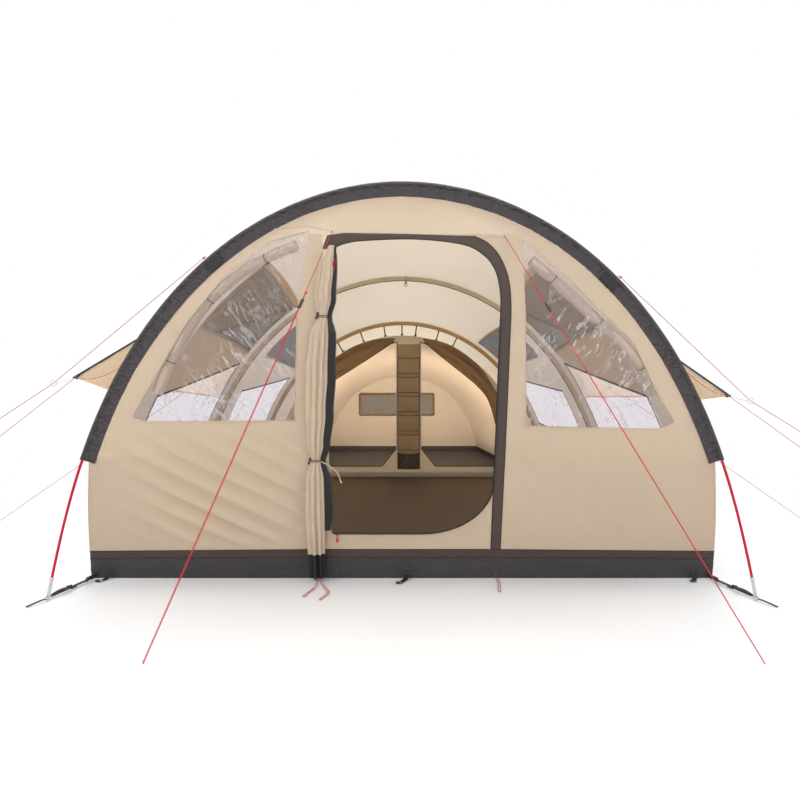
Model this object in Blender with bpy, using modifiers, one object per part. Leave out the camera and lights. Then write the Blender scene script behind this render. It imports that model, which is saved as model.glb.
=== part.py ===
"""A family tunnel tent with four pole arches, a front porch with a side-opening door and a hung inner tent.

Units are metres. Seen from the front, +X is to the right, +Y runs from the front arch to the back of
the tent and +Z is up. All places below are counted from the foot of the front arch's plane, and one
empty moves the whole tent so that its origin is the middle of its footprint, on the ground.
"""

import math

import bmesh
import bpy
from mathutils import Matrix, Vector

# ---------------------------------------------------------------- driving dimensions

# The four pole arches, front to back: place, height and half span of the pole's axis on the ground.
ARCH_1_Y, ARCH_1_HEIGHT, ARCH_1_HALF = 0.0, 2.0155, 1.715
ARCH_2_Y, ARCH_2_HEIGHT, ARCH_2_HALF = 1.60, 1.885, 1.70
ARCH_3_Y, ARCH_3_HEIGHT, ARCH_3_HALF = 2.95, 1.66, 1.571
ARCH_4_Y, ARCH_4_HEIGHT, ARCH_4_HALF = 5.25, 1.15, 1.20
ARCH_TURN = 1.377  # how far a bent pole turns from its top to its foot, in radians
ARCH_EASE = 1.68  # how much of that turn lies near the top

GAP = 0.0005  # between cloth edges that are sewn together
FIT = 0.0004  # between a pole, line or strap and what runs on it
CLOTH = 0.003

POLE_RADIUS = 0.00625
SLEEVE_WIDTH = 0.075  # of the flat band seen from the front
SLEEVE_LOBE = 0.0115
SLEEVE_FIN = 0.004
SLEEVE_END_Z = 0.68  # the front pole is bare below this
CANOPY_DROP = 0.030  # from a pole's axis down to the cloth
CANOPY_SAG = 0.030  # cloth between two arches lies this much lower

SHEET_FLOOR = 0.003
TRAY_HEIGHT = 0.120
BAND_TOP = 0.166

FRONT_TOE = 0.28  # how far the front wall's foot stands back from the arch
BROW_REACH = 0.12  # how far the front guys pull the brow forward
REAR_TOE = 0.35
CORNER_CLEAR = 0.005  # from the front wall's outer edge to the canopy's inner side

BROW_LEFT = (-0.32, 1.75)
BROW_RIGHT = (0.475, 1.73)
DOOR_LEFT = -0.37
DOOR_RIGHT = 0.47
DOOR_FLAP = 0.05
DOOR_SILL_Z = 0.256
DOOR_CORNER_X = 0.11
DOOR_CORNER_Z = 0.53

CURTAIN_RADIUS = 0.030

VENT_TILT = 0.10  # a vent's near end is this much higher than its far end
BAY_1_OPENINGS = (0.38, 1.42)
BAY_2_OPENINGS = (1.80, 2.75)

HOOD_TIP_X = 2.13
HOOD_TIP_Y = 0.90
HOOD_TIP_LEFT_Z = 1.07
HOOD_TIP_RIGHT_Z = 0.95

INNER_DROP = 0.12  # the inner tent hangs this far inside the canopy
INNER_FRONT_Y = 3.02
INNER_REAR_Y = 5.00
INNER_TRAY = 0.060
COLUMN_X = (-0.05, 0.19)
COLUMN_TOP = 1.40
POCKETS = 6
POCKET_DEPTH = 0.030

CORD_RADIUS = 0.0015
CORD_SPREAD = 0.012  # between the two strands of a front guy
RUNNER_LENGTH = 0.045
STRAP_WIDTH = 0.025
STRAP_THICK = 0.002
STRAP_Z = 0.012
BUCKLE_LENGTH = 0.030

FRONT_REACH = 0.1294
REAR_REACH = 5.60

BEIGE = (0.66, 0.55, 0.39)
TAN = (0.56, 0.41, 0.25)
CHARCOAL = (0.048, 0.036, 0.042)
BAND_BROWN = (0.07, 0.052, 0.045)
SHEET_GREY = (0.045, 0.043, 0.043)
RED = (0.58, 0.01, 0.025)
BLACK = (0.012, 0.012, 0.013)
BROWN = (0.26, 0.13, 0.05)
MESH_GREY = (0.22, 0.20, 0.16)
CLEAR = (0.85, 0.87, 0.88)

# ---------------------------------------------------------------- scene, materials and objects

for old in list(bpy.data.objects):
    bpy.data.objects.remove(old, do_unlink=True)

parts = bpy.data.collections.new("tunnel_tent")
cutters = bpy.data.collections.new("cutters")
bpy.context.scene.collection.children.link(parts)
bpy.context.scene.collection.children.link(cutters)

tent = bpy.data.objects.new("tent_origin", None)
tent.location = (0.0, -(REAR_REACH - FRONT_REACH) / 2, 0.0)
parts.objects.link(tent)


def material(name, colour, roughness=0.8, metallic=0.0, alpha=1.0):
    """A plain finish in one colour."""
    made = bpy.data.materials.new(name)
    made.use_nodes = True
    shader = made.node_tree.nodes["Principled BSDF"]
    shader.inputs["Base Color"].default_value = (*colour, 1.0)
    shader.inputs["Roughness"].default_value = roughness
    shader.inputs["Metallic"].default_value = metallic
    shader.inputs["Alpha"].default_value = alpha
    made.diffuse_color = (*colour, alpha)
    return made


CANOPY_CLOTH = material("canopy_cloth", BEIGE)
PANEL_CLOTH = material("panel_cloth", TAN)
SLEEVE_CLOTH = material("sleeve_cloth", CHARCOAL, 0.7)
BAND_CLOTH = material("band_cloth", BAND_BROWN, 0.8)
GROUND_CLOTH = material("ground_cloth", SHEET_GREY, 0.6)
INNER_CLOTH = material("inner_cloth", BEIGE, 0.9)
INNER_BROWN = material("inner_brown", BROWN, 0.9)
NETTING = material("netting", MESH_GREY, 0.9)
WINDOW_FILM = material("window_film", CLEAR, 0.1, 0.0, 0.3)
POLE_PAINT = material("pole_paint", RED, 0.3)
CORD_RED = material("cord_red", RED, 0.7)
WEBBING = material("webbing", BLACK, 0.8)
PLASTIC = material("black_plastic", BLACK, 0.45)


def place(name, mesh, finish, collection=parts):
    """An object for a mesh, carried by the tent's origin."""
    made = bpy.data.objects.new(name, mesh)
    collection.objects.link(made)
    made.parent = tent
    if finish is not None:
        made.data.materials.append(finish)
    else:
        made.hide_render = True
        made.display_type = "WIRE"
    return made


def pivot(made, point):
    """Moves a piece's origin to the point that it turns about or slides from."""
    made.data.transform(Matrix.Translation(-Vector(point)))
    made.location = point


def mesh_from(bm, name):
    """A mesh from a bmesh whose faces are made to point out."""
    bmesh.ops.recalc_face_normals(bm, faces=bm.faces)
    mesh = bpy.data.meshes.new(name)
    bm.to_mesh(mesh)
    bm.free()
    return mesh


def boolean(piece, cutter, operation):
    """Cut or keep part of a piece with a cutter."""
    step = piece.modifiers.new(operation.lower(), "BOOLEAN")
    step.operation = operation
    step.object = cutter
    step.solver = "EXACT"


def thicken(piece, thickness, offset=-1.0):
    """Give an open sheet its thickness, away from the side that its faces look to."""
    step = piece.modifiers.new("thickness", "SOLIDIFY")
    step.thickness = thickness
    step.offset = offset
    step.use_even_offset = True


# ---------------------------------------------------------------- shapes made of rows and outlines


def add_rows(bm, rows, closed=False):
    """Faces between rows of points; each row has as many points as the next.

    An open sheet is made of triangles that all lean one way, so that what is laid on it has its facets.
    """
    grid = [[bm.verts.new(point) for point in row] for row in rows]
    for low, high in zip(grid, grid[1:]):
        count = len(low)
        for i in range(count if closed else count - 1):
            j = (i + 1) % count
            if closed:
                bm.faces.new((low[i], low[j], high[j], high[i]))
            else:
                bm.faces.new((low[i], low[j], high[j]))
                bm.faces.new((low[i], high[j], high[i]))
    return grid


def sheet(name, rows, finish, thickness=CLOTH):
    """A cloth whose outer side is the surface through rows, run so that its faces look out."""
    bm = bmesh.new()
    add_rows(bm, rows)
    mesh = bpy.data.meshes.new(name)
    bm.to_mesh(mesh)
    bm.free()
    made = place(name, mesh, finish)
    thicken(made, thickness)
    return made


def shell(name, outer_rows, inner_rows, finish, closed_end=False):
    """A cloth between two sets of rows, so that its edges lie square; closed_end adds a wall at the last row."""
    bm = bmesh.new()
    outer = add_rows(bm, outer_rows)
    inner = add_rows(bm, inner_rows)
    rim = [(outer[0], inner[0])]
    rim.append(([row[0] for row in outer], [row[0] for row in inner]))
    rim.append(([row[-1] for row in outer], [row[-1] for row in inner]))
    if closed_end:
        bm.faces.new(outer[-1])
        bm.faces.new(inner[-1])
        bm.faces.new((outer[-1][0], outer[-1][-1], inner[-1][-1], inner[-1][0]))
    else:
        rim.append((outer[-1], inner[-1]))
    for a, b in rim:
        for i in range(len(a) - 1):
            bm.faces.new((a[i], a[i + 1], b[i + 1], b[i]))
    return place(name, mesh_from(bm, name), finish)


def lofted(name, rings, finish, collection=parts):
    """A solid through closed rings, with its two ends filled."""
    bm = bmesh.new()
    grid = add_rows(bm, rings, closed=True)
    bm.faces.new(grid[0])
    bm.faces.new(grid[-1])
    return place(name, mesh_from(bm, name), finish, collection)


def hollow_loft(name, outer_rings, inner_rings, finish):
    """A long piece with a bore from end to end; both sets of rings have equal counts."""
    bm = bmesh.new()
    outer = add_rows(bm, outer_rings, closed=True)
    inner = add_rows(bm, inner_rings, closed=True)
    for end in (0, -1):
        count = len(outer[end])
        for i in range(count):
            j = (i + 1) % count
            bm.faces.new((outer[end][i], outer[end][j], inner[end][j], inner[end][i]))
    return place(name, mesh_from(bm, name), finish)


def prism(name, outline, low, high, axis, finish=None):
    """A solid with a flat outline, run from low to high along Y (outline in X and Z) or X (Y and Z)."""

    def at(point, along):
        if axis == "Y":
            return (point[0], along, point[1])
        return (along, point[0], point[1])

    bm = bmesh.new()
    ends = [[bm.verts.new(at(point, along)) for point in outline] for along in (low, high)]
    count = len(outline)
    for i in range(count):
        j = (i + 1) % count
        bm.faces.new((ends[0][i], ends[0][j], ends[1][j], ends[1][i]))
    for end in ends:
        bm.faces.new(end)
    return place(name, mesh_from(bm, name), finish, parts if finish else cutters)


def tube(name, points, radius, finish, sides=2):
    """A round cord or rod along points."""
    line = bpy.data.curves.new(name, "CURVE")
    line.dimensions = "3D"
    line.bevel_depth = radius
    line.bevel_resolution = sides
    line.use_fill_caps = True
    run = line.splines.new("POLY")
    run.points.add(len(points) - 1)
    for knot, point in zip(run.points, points):
        knot.co = (*point, 1.0)
    made = bpy.data.objects.new(name, line)
    parts.objects.link(made)
    made.parent = tent
    made.data.materials.append(finish)
    return made


def inset(outline, margin):
    """An outline moved inward by margin, for an outline that runs anticlockwise."""
    count = len(outline)
    moved = []
    for i in range(count):
        before, here, after = (Vector(outline[(i + k) % count]) for k in (-1, 0, 1))
        a = (here - before).normalized()
        b = (after - here).normalized()
        na, nb = Vector((-a.y, a.x)), Vector((-b.y, b.x))
        corner = (na + nb) / max(0.3, 1 + na.dot(nb))
        moved.append(tuple(here + corner * margin))
    return moved


# ---------------------------------------------------------------- the arch and the canopy's surface


def bent_pole(steps=360):
    """The unit curve of half a bent pole: across and up, from its top to its foot."""
    across, down = [0.0], [0.0]
    for i in range(steps):
        share = (i + 0.5) / steps
        angle = ARCH_TURN * (1 - (1 - share) ** ARCH_EASE)
        across.append(across[-1] + math.cos(angle))
        down.append(down[-1] + math.sin(angle))
    return [(x / across[-1], 1 - z / down[-1]) for x, z in zip(across, down)]


HALF_POLE = bent_pole()
ARCHES = (
    (ARCH_1_Y, ARCH_1_HALF, ARCH_1_HEIGHT),
    (ARCH_2_Y, ARCH_2_HALF, ARCH_2_HEIGHT),
    (ARCH_3_Y, ARCH_3_HALF, ARCH_3_HEIGHT),
    (ARCH_4_Y, ARCH_4_HALF, ARCH_4_HEIGHT),
)


def arch_point(arch, u, outward=0.0):
    """A point of an arch in X and Z: u is -1 at the left foot, 0 at the top and 1 at the right foot."""
    _, half, height = arch
    last = len(HALF_POLE) - 1
    place_on = min(abs(u), 1.0) * last
    i = min(int(place_on), last - 1)
    (x0, z0), (x1, z1) = HALF_POLE[i], HALF_POLE[i + 1]
    part = place_on - i
    x, z = (x0 + (x1 - x0) * part) * half, (z0 + (z1 - z0) * part) * height
    i = max(1, min(i, last - 1))
    run_x = (HALF_POLE[i + 1][0] - HALF_POLE[i - 1][0]) * half
    run_z = (HALF_POLE[i + 1][1] - HALF_POLE[i - 1][1]) * height
    long = math.hypot(run_x, run_z)
    normal_x, normal_z = -run_z / long, run_x / long
    if abs(u) < 1e-6:
        normal_x, normal_z = 0.0, 1.0
    side = -1.0 if u < 0 else 1.0
    return Vector((side * (x + normal_x * outward), z + normal_z * outward))


def canopy_point(u, y, outward=0.0):
    """A point of the canopy's outer side, or as much further out, in X and Z."""
    k = 2 if y >= ARCH_3_Y else (1 if y >= ARCH_2_Y else 0)
    before, after = ARCHES[k], ARCHES[k + 1]
    t = (y - before[0]) / (after[0] - before[0])
    t = min(max(t, 0.0), 1.0)
    drop = outward - CANOPY_DROP - CANOPY_SAG * 4 * t * (1 - t)
    return arch_point(before, u, drop) * (1 - t) + arch_point(after, u, drop) * t


def canopy_u(y, z, outward=0.0):
    """Where on the canopy's right half, from 0 at the top to 1, the height is z."""
    low, high = 0.0, 1.0
    for _ in range(40):
        middle = (low + high) / 2
        if canopy_point(middle, y, outward).y > z:
            low = middle
        else:
            high = middle
    return (low + high) / 2


def canopy_half(y, z, outward=0.0):
    """The canopy's half width at a height."""
    return canopy_point(canopy_u(y, z, outward), y, outward).x


def edge_y(z):
    """How far back the front wall's outer edge stands at a height: it leaves the arch below the sleeve."""
    return FRONT_TOE * max(0.0, 1 - z / (SLEEVE_END_Z + 0.01))


BROW_Z = (BROW_LEFT[1] + BROW_RIGHT[1]) / 2


def front_y(x, z):
    """The front wall's outer side: pulled forward at the brow, and leaning back to its foot."""
    if z > BROW_Z:
        top = ARCH_1_HEIGHT - SLEEVE_WIDTH
        middle = -BROW_REACH * max(0.0, 1 - (z - BROW_Z) / (top - BROW_Z))
    else:
        middle = FRONT_TOE - (FRONT_TOE + BROW_REACH) * z / BROW_Z
    wide = canopy_half(ARCH_1_Y, z, -CANOPY_DROP)
    flat = min(0.44, 0.6 * wide)
    share = min(1.0, max(0.0, (abs(x) - flat) / max(0.02, wide - flat)))
    return middle + (edge_y(z) - middle) * share


def rear_y(x, z):
    """The rear wall's outer side, from the rear arch down to its curved foot."""
    top = ARCH_4_HEIGHT - CANOPY_DROP
    wide = max(0.05, canopy_half(ARCH_4_Y, min(z, top - 0.01)))
    across = max(0.0, 1 - (abs(x) / wide) ** 4)
    return ARCH_4_Y + REAR_TOE * max(0.0, 1 - z / top) * across


# ---------------------------------------------------------------- poles and their sleeves

SLEEVE_ROOT = SLEEVE_WIDTH - SLEEVE_LOBE  # from the pole's axis in to the band's inner edge
SLEEVE_PROFILE = (
    (SLEEVE_LOBE, 0.0),
    (SLEEVE_LOBE * 0.39, SLEEVE_LOBE * 0.94),
    (-SLEEVE_LOBE * 1.4, SLEEVE_FIN / 2),
    (-SLEEVE_ROOT, SLEEVE_FIN / 2),
    (-SLEEVE_ROOT, -SLEEVE_FIN / 2),
    (-SLEEVE_LOBE * 1.4, -SLEEVE_FIN / 2),
    (SLEEVE_LOBE * 0.39, -SLEEVE_LOBE * 0.94),
)
BORE_RADIUS = POLE_RADIUS + FIT  # the pole has as many sides as the bore, so they lie side to side
SLEEVE_STEPS = 26


def arch_u(arch, z):
    """Where on an arch's right half the pole's axis has a height."""
    low, high = 0.0, 1.0
    for _ in range(40):
        middle = (low + high) / 2
        if arch_point(arch, middle).y > z:
            low = middle
        else:
            high = middle
    return (low + high) / 2


def stations(arch, end_z, steps=SLEEVE_STEPS):
    """Places along an arch from one end of its sleeve to the other."""
    end = arch_u(arch, end_z)
    return [end * (2 * i / steps - 1) for i in range(steps + 1)]


def sleeve(name, arch, end_z, finish):
    """A pole sleeve: a hem round the pole and the flat band that is sewn to the cloth."""
    count = len(SLEEVE_PROFILE)
    bore = [
        (BORE_RADIUS * math.cos(2 * math.pi * i / count), BORE_RADIUS * math.sin(2 * math.pi * i / count))
        for i in range(count)
    ]

    def ring(u, profile):
        made = []
        for out, along in profile:
            point = arch_point(arch, u, out)
            made.append((point.x, arch[0] + along, point.y))
        return made

    places = stations(arch, end_z)
    outer = [ring(u, SLEEVE_PROFILE) for u in places]
    inner = [ring(u, bore) for u in places]
    return hollow_loft(name, outer, inner, finish)


ground = prism("ground_cut", [(-4, -0.5), (4, -0.5), (4, 0.0), (-4, 0.0)], -2, 8, "Y")


def pole(name, arch, end_z):
    """A bent pole from foot to foot, cut flat where it stands on the ground."""
    end = arch_u(arch, end_z)
    legs = 4
    places = stations(arch, end_z)
    feet = [end + (1.0 - end) * (i + 1) / legs for i in range(legs)]
    places = [-u for u in reversed(feet)] + places + feet
    sides = len(SLEEVE_PROFILE)
    rings = []
    for u in places:
        ring = []
        for i in range(sides):
            angle = 2 * math.pi * i / sides
            point = arch_point(arch, u, POLE_RADIUS * math.cos(angle))
            drop = -0.01 if abs(u) > 0.999 else 0.0
            ring.append((point.x, arch[0] + POLE_RADIUS * math.sin(angle), point.y + drop))
        rings.append(ring)
    made = lofted(name, rings, POLE_PAINT)
    boolean(made, ground, "DIFFERENCE")
    return made


SLEEVE_LOW = BAND_TOP + 0.012
ARCH_NAMES = ("front", "second", "third", "rear")
for arch_name, arch in zip(ARCH_NAMES, ARCHES):
    end_z = SLEEVE_END_Z if arch_name == "front" else SLEEVE_LOW
    cloth = SLEEVE_CLOTH if arch_name == "front" else CANOPY_CLOTH
    sleeve(f"{arch_name}_sleeve", arch, end_z, cloth)
    pole(f"{arch_name}_pole", arch, end_z)

# ---------------------------------------------------------------- canopy bays with vents and side windows

BAY_COLUMNS = 13  # on each side of the ridge
BAY_ROWS = 4
SEAM = SLEEVE_FIN / 2 + GAP
CANOPY_LOW = BAND_TOP + GAP


def bay_rows(start, end, first=False, lower=CANOPY_LOW, outward=0.0, rows=BAY_ROWS):
    """Rows of points over one bay, front to back; the first bay's front edge follows the front wall."""
    made = []
    for row in range(rows + 1):
        line = []
        for column in range(-BAY_COLUMNS, BAY_COLUMNS + 1):
            share = column / BAY_COLUMNS
            begin = start
            if first:
                z = canopy_point(share * canopy_u(start, lower, outward), start, outward).y
                begin = max(start, edge_y(z) - CLOTH)
            y = begin + (end - begin) * row / rows
            point = canopy_point(share * canopy_u(y, lower, outward), y, outward)
            line.append((point.x, y, point.y))
        made.append(line)
    return made


def side_outline(places, near, far, outer_near, outer_far):
    """A four-sided opening in a side wall, in Y and Z, anticlockwise."""
    return [(places[0], near), (places[1], far), (places[1], outer_far), (places[0], outer_near)]


def bay_openings(places):
    """The mesh vent and the clear window of one bay's side."""
    vent = side_outline(places, 1.36, 1.36 - VENT_TILT, 1.68, 1.68 - VENT_TILT)
    window = side_outline(places, 0.50, 0.62, 0.97, 1.17)
    return {"vent": vent, "window": window}


def lower_openings(places):
    """The same pair in the lower second bay."""
    vent = side_outline(places, 1.24, 1.24 - VENT_TILT, 1.50, 1.50 - VENT_TILT)
    window = side_outline(places, 0.52, 0.60, 0.95, 1.05)
    return {"vent": vent, "window": window}


BAYS = (
    ("front", ARCH_1_Y, ARCH_2_Y, bay_openings(BAY_1_OPENINGS)),
    ("middle", ARCH_2_Y, ARCH_3_Y, lower_openings(BAY_2_OPENINGS)),
    ("rear", ARCH_3_Y, ARCH_4_Y, {}),
)
SIDES = (("left", -1), ("right", 1))
SIDE_LOW_X, SIDE_HIGH_X = 0.35, 2.6


def side_prism(name, outline, side, finish=None):
    """A cutter through one side wall."""
    low, high = (SIDE_LOW_X, SIDE_HIGH_X) if side > 0 else (-SIDE_HIGH_X, -SIDE_LOW_X)
    return prism(name, outline, low, high, "X", finish)


for bay, start, end, openings in BAYS:
    rows = bay_rows(start + SEAM, end - SEAM, first=bay == "front")
    inner_rows = bay_rows(start + SEAM, end - SEAM, first=bay == "front", outward=-CLOTH)
    canopy = shell(f"canopy_{bay}_bay", rows, inner_rows, CANOPY_CLOTH)
    for kind, outline in openings.items():
        for side_name, side in SIDES:
            hole = side_prism(f"{kind}_{bay}_{side_name}_hole", outline, side)
            boolean(canopy, hole, "DIFFERENCE")
            keep = side_prism(f"{kind}_{bay}_{side_name}_keep", inset(outline, GAP), side)
            finish = NETTING if kind == "vent" else WINDOW_FILM
            fill = shell(f"{kind}_{bay}_{side_name}", rows, inner_rows, finish)
            boolean(fill, keep, "INTERSECT")

# ---------------------------------------------------------------- front wall

FRONT_CELL = 0.12
FRONT_HALF_CELLS = 15
FRONT_TOP = 2.04
FRONT_HEIGHTS = [BROW_Z * i / 14 for i in range(15)] + [BROW_Z + (FRONT_TOP - BROW_Z) * i / 3 for i in (1, 2, 3)]


def front_rows(shift=0.0):
    """Rows of the front wall's outer side, bottom to top, left to right."""
    return [
        [
            (x * FRONT_CELL, front_y(x * FRONT_CELL, z) + shift, z)
            for x in range(-FRONT_HALF_CELLS, FRONT_HALF_CELLS + 1)
        ]
        for z in FRONT_HEIGHTS
    ]


def on_front(x, z):
    """The front wall's outer side at a place, on the flat facet that passes it."""
    column = math.floor(x / FRONT_CELL)
    row = max(i for i, height in enumerate(FRONT_HEIGHTS[:-1]) if height <= z)
    low, high = FRONT_HEIGHTS[row], FRONT_HEIGHTS[row + 1]
    across, up = x / FRONT_CELL - column, (z - low) / (high - low)
    y00, y10 = front_y(column * FRONT_CELL, low), front_y((column + 1) * FRONT_CELL, low)
    y01, y11 = front_y(column * FRONT_CELL, high), front_y((column + 1) * FRONT_CELL, high)
    if across >= up:
        return y00 + (y10 - y00) * across + (y11 - y10) * up
    return y00 + (y11 - y01) * across + (y01 - y00) * up


def front_piece(name, outline, finish, holes=(), thickness=CLOTH):
    """A piece of the front wall, cut from its surface to an outline in X and Z."""
    made = sheet(name, front_rows(), finish, thickness)
    boolean(made, prism(f"{name}_outline", outline, -1.0, 1.0, "Y"), "INTERSECT")
    for i, hole in enumerate(holes):
        boolean(made, prism(f"{name}_hole_{i}", hole, -1.0, 1.0, "Y"), "DIFFERENCE")
    return made


def frame_inner_edge(side):
    """Points down the arch band's inner edge on one side, from the ridge to the sleeve's end."""
    places = [u for u in stations(ARCHES[0], SLEEVE_END_Z) if u * side > 0]
    places.sort(key=abs)
    return [tuple(arch_point(ARCHES[0], u, -SLEEVE_ROOT - GAP)) for u in places]


def wall_inner_edge(side):
    """Points down the inside of the canopy's front edge, from the sleeve's end to the mud band."""
    made = []
    steps = 5
    top = SLEEVE_END_Z - 0.02
    for i in range(steps + 1):
        z = top + (CANOPY_LOW - top) * i / steps
        y = edge_y(z)
        half = canopy_half(y, z, -CLOTH) - CORNER_CLEAR
        made.append((side * half, z))
    return made


def brow_z(x):
    """The height of the brow's lower edge between the two guy points."""
    share = (x - BROW_LEFT[0]) / (BROW_RIGHT[0] - BROW_LEFT[0])
    return BROW_LEFT[1] + (BROW_RIGHT[1] - BROW_LEFT[1]) * share


BROW_RISE = 0.04  # the brow's edge climbs this much beyond each guy point
left_edge = frame_inner_edge(-1)
right_edge = frame_inner_edge(1)
BROW_END_LEFT = min(range(len(left_edge)), key=lambda i: abs(left_edge[i][0] + 0.66))
BROW_END_RIGHT = min(range(len(right_edge)), key=lambda i: abs(right_edge[i][0] - 0.78))
brow_bend_left = (BROW_LEFT[0] - 0.12, BROW_LEFT[1] + BROW_RISE)
brow_bend_right = (BROW_RIGHT[0] + 0.15, BROW_RIGHT[1] + BROW_RISE)
brow_low = [left_edge[BROW_END_LEFT], brow_bend_left, BROW_LEFT, BROW_RIGHT, brow_bend_right]
brow_low.append(right_edge[BROW_END_RIGHT])
brow_top = list(reversed(right_edge[:BROW_END_RIGHT]))
brow_top.append(tuple(arch_point(ARCHES[0], 0.0, -SLEEVE_ROOT - GAP)))
brow_top.extend(left_edge[:BROW_END_LEFT])
brow = front_piece("front_brow", brow_low + brow_top, CANOPY_CLOTH)

window_left_outline = [
    (-1.31, 0.885),
    (-1.24, 0.862),
    (-0.535, 0.862),
    (-0.50, 1.38),
    (-0.428, 1.762),
    (-0.64, 1.72),
    (-0.85, 1.57),
    (-1.04, 1.345),
    (-1.19, 1.094),
]
window_right_outline = [
    (0.615, 0.835),
    (1.26, 0.825),
    (1.325, 0.86),
    (1.245, 0.99),
    (1.12, 1.25),
    (0.965, 1.39),
    (0.77, 1.58),
    (0.567, 1.728),
    (0.59, 1.38),
]


def below(points, margin=2 * GAP):
    """Points moved down a little, to sew an edge under another."""
    return [(x, z - margin) for x, z in points]


left_panel_outline = [(DOOR_LEFT - GAP, CANOPY_LOW)]
left_panel_outline.append((DOOR_LEFT - GAP, brow_z(BROW_LEFT[0]) + 0.012))
left_panel_outline += below([brow_bend_left])
left_panel_outline += [(left_edge[BROW_END_LEFT][0], left_edge[BROW_END_LEFT][1] - 4 * GAP)]
left_panel_outline += left_edge[BROW_END_LEFT + 1 :] + wall_inner_edge(-1)
front_piece("front_panel_left", left_panel_outline, PANEL_CLOTH, [window_left_outline])

FLAP_OUT = DOOR_RIGHT + DOOR_FLAP
flap_outer = [
    (FLAP_OUT, CANOPY_LOW),
    (FLAP_OUT, 1.40),
    (FLAP_OUT - 0.012, 1.53),
    (FLAP_OUT - 0.05, 1.63),
    (FLAP_OUT - 0.12, 1.70),
    (FLAP_OUT - 0.19, brow_z(FLAP_OUT - 0.19) - 2 * GAP),
]
flap_inner = [
    (-0.335, 1.695),
    (-0.17, 1.712),
    (0.06, 1.716),
    (0.28, 1.695),
    (DOOR_RIGHT - 0.09, 1.65),
    (DOOR_RIGHT - 0.03, 1.58),
    (DOOR_RIGHT - 0.005, 1.48),
    (DOOR_RIGHT, 1.38),
    (DOOR_RIGHT, CANOPY_LOW),
]
flap_top_left = [(-0.26, brow_z(-0.26) - 2 * GAP), (-0.345, 1.735), (DOOR_LEFT + GAP, 1.70)]
front_piece("door_zip_flap", flap_outer + flap_top_left + flap_inner, SLEEVE_CLOTH)

right_panel_outline = list(reversed(wall_inner_edge(1))) + list(reversed(right_edge[BROW_END_RIGHT + 1 :]))
right_panel_outline += [(right_edge[BROW_END_RIGHT][0], right_edge[BROW_END_RIGHT][1] - 4 * GAP)]
right_panel_outline += below([brow_bend_right, BROW_RIGHT])
right_panel_outline += [(x + GAP, z + GAP) for x, z in reversed(flap_outer[:-1])]
right_panel_outline[-1] = (FLAP_OUT + GAP, CANOPY_LOW)
front_piece("front_panel_right", right_panel_outline, PANEL_CLOTH, [window_right_outline])

CORNER_STEPS = 6
SILL_RIGHT = DOOR_RIGHT - GAP
sill_corner = [
    (
        DOOR_CORNER_X + (SILL_RIGHT - DOOR_CORNER_X) * math.cos(math.pi / 2 * i / CORNER_STEPS),
        DOOR_CORNER_Z - (DOOR_CORNER_Z - DOOR_SILL_Z) * math.sin(math.pi / 2 * i / CORNER_STEPS),
    )
    for i in range(CORNER_STEPS + 1)
]
sill_outline = [(DOOR_LEFT + GAP, CANOPY_LOW), (SILL_RIGHT, CANOPY_LOW)] + sill_corner
sill_outline.append((DOOR_LEFT + GAP, DOOR_SILL_Z))
front_piece("door_sill", sill_outline, PANEL_CLOTH)

for side_name, outline in (("left", window_left_outline), ("right", window_right_outline)):
    film = inset(outline, GAP)
    front_piece(f"front_window_{side_name}", film, WINDOW_FILM)


def along(points, k):
    """The direction of a line of points at point k."""
    a = Vector(points[max(k - 1, 0)])
    b = Vector(points[min(k + 1, len(points) - 1)])
    return (b - a).normalized()


def rod_rings(points, radius, sides=8):
    """Rings round a line of points, flat across it."""
    rings = []
    for k, point in enumerate(points):
        run = along(points, k)
        first = run.cross(Vector((0, 1, 0))).normalized()
        second = run.cross(first)
        ring = []
        for i in range(sides):
            angle = 2 * math.pi * i / sides
            ring.append(Vector(point) + first * radius * math.cos(angle) + second * radius * math.sin(angle))
        rings.append(ring)
    return rings


def solid_behind(name, rows, move):
    """A cutter between a surface and the same surface with each point moved."""
    bm = bmesh.new()
    add_rows(bm, rows)
    copied = bmesh.ops.extrude_face_region(bm, geom=list(bm.faces))["geom"]
    for vertex in copied:
        if isinstance(vertex, bmesh.types.BMVert):
            vertex.co = move(vertex.co)
    return place(name, mesh_from(bm, name), None)


WALL_DEPTH = CLOTH * 1.1  # the leaning wall's thickness along Y
BLOCK_DEPTH = 0.3
before_rows = front_rows(WALL_DEPTH + GAP)
before_wall = solid_behind("before_front_wall", before_rows, lambda co: co - Vector((0, BLOCK_DEPTH, 0)))
behind_wall = solid_behind("behind_front_wall", front_rows(-GAP), lambda co: co + Vector((0, BLOCK_DEPTH, 0)))

# The rolled curtains, tied up inside along the upper edge of each front window.
CURTAIN_LEFT = [(-1.20, 1.00), (-1.09, 1.24), (-0.93, 1.46), (-0.72, 1.62), (-0.50, 1.70)]
CURTAIN_RIGHT = [(1.25, 1.00), (1.12, 1.20), (0.94, 1.37), (0.76, 1.53), (0.62, 1.64)]
for side_name, line in (("left", CURTAIN_LEFT), ("right", CURTAIN_RIGHT)):
    middle = [(x, front_y(x, z) + WALL_DEPTH + CURTAIN_RADIUS, z) for x, z in line]
    roll = lofted(f"curtain_roll_{side_name}", rod_rings(middle, CURTAIN_RADIUS), CANOPY_CLOTH)
    boolean(roll, before_wall, "DIFFERENCE")

# ---------------------------------------------------------------- the door, gathered and tied at the left

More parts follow.
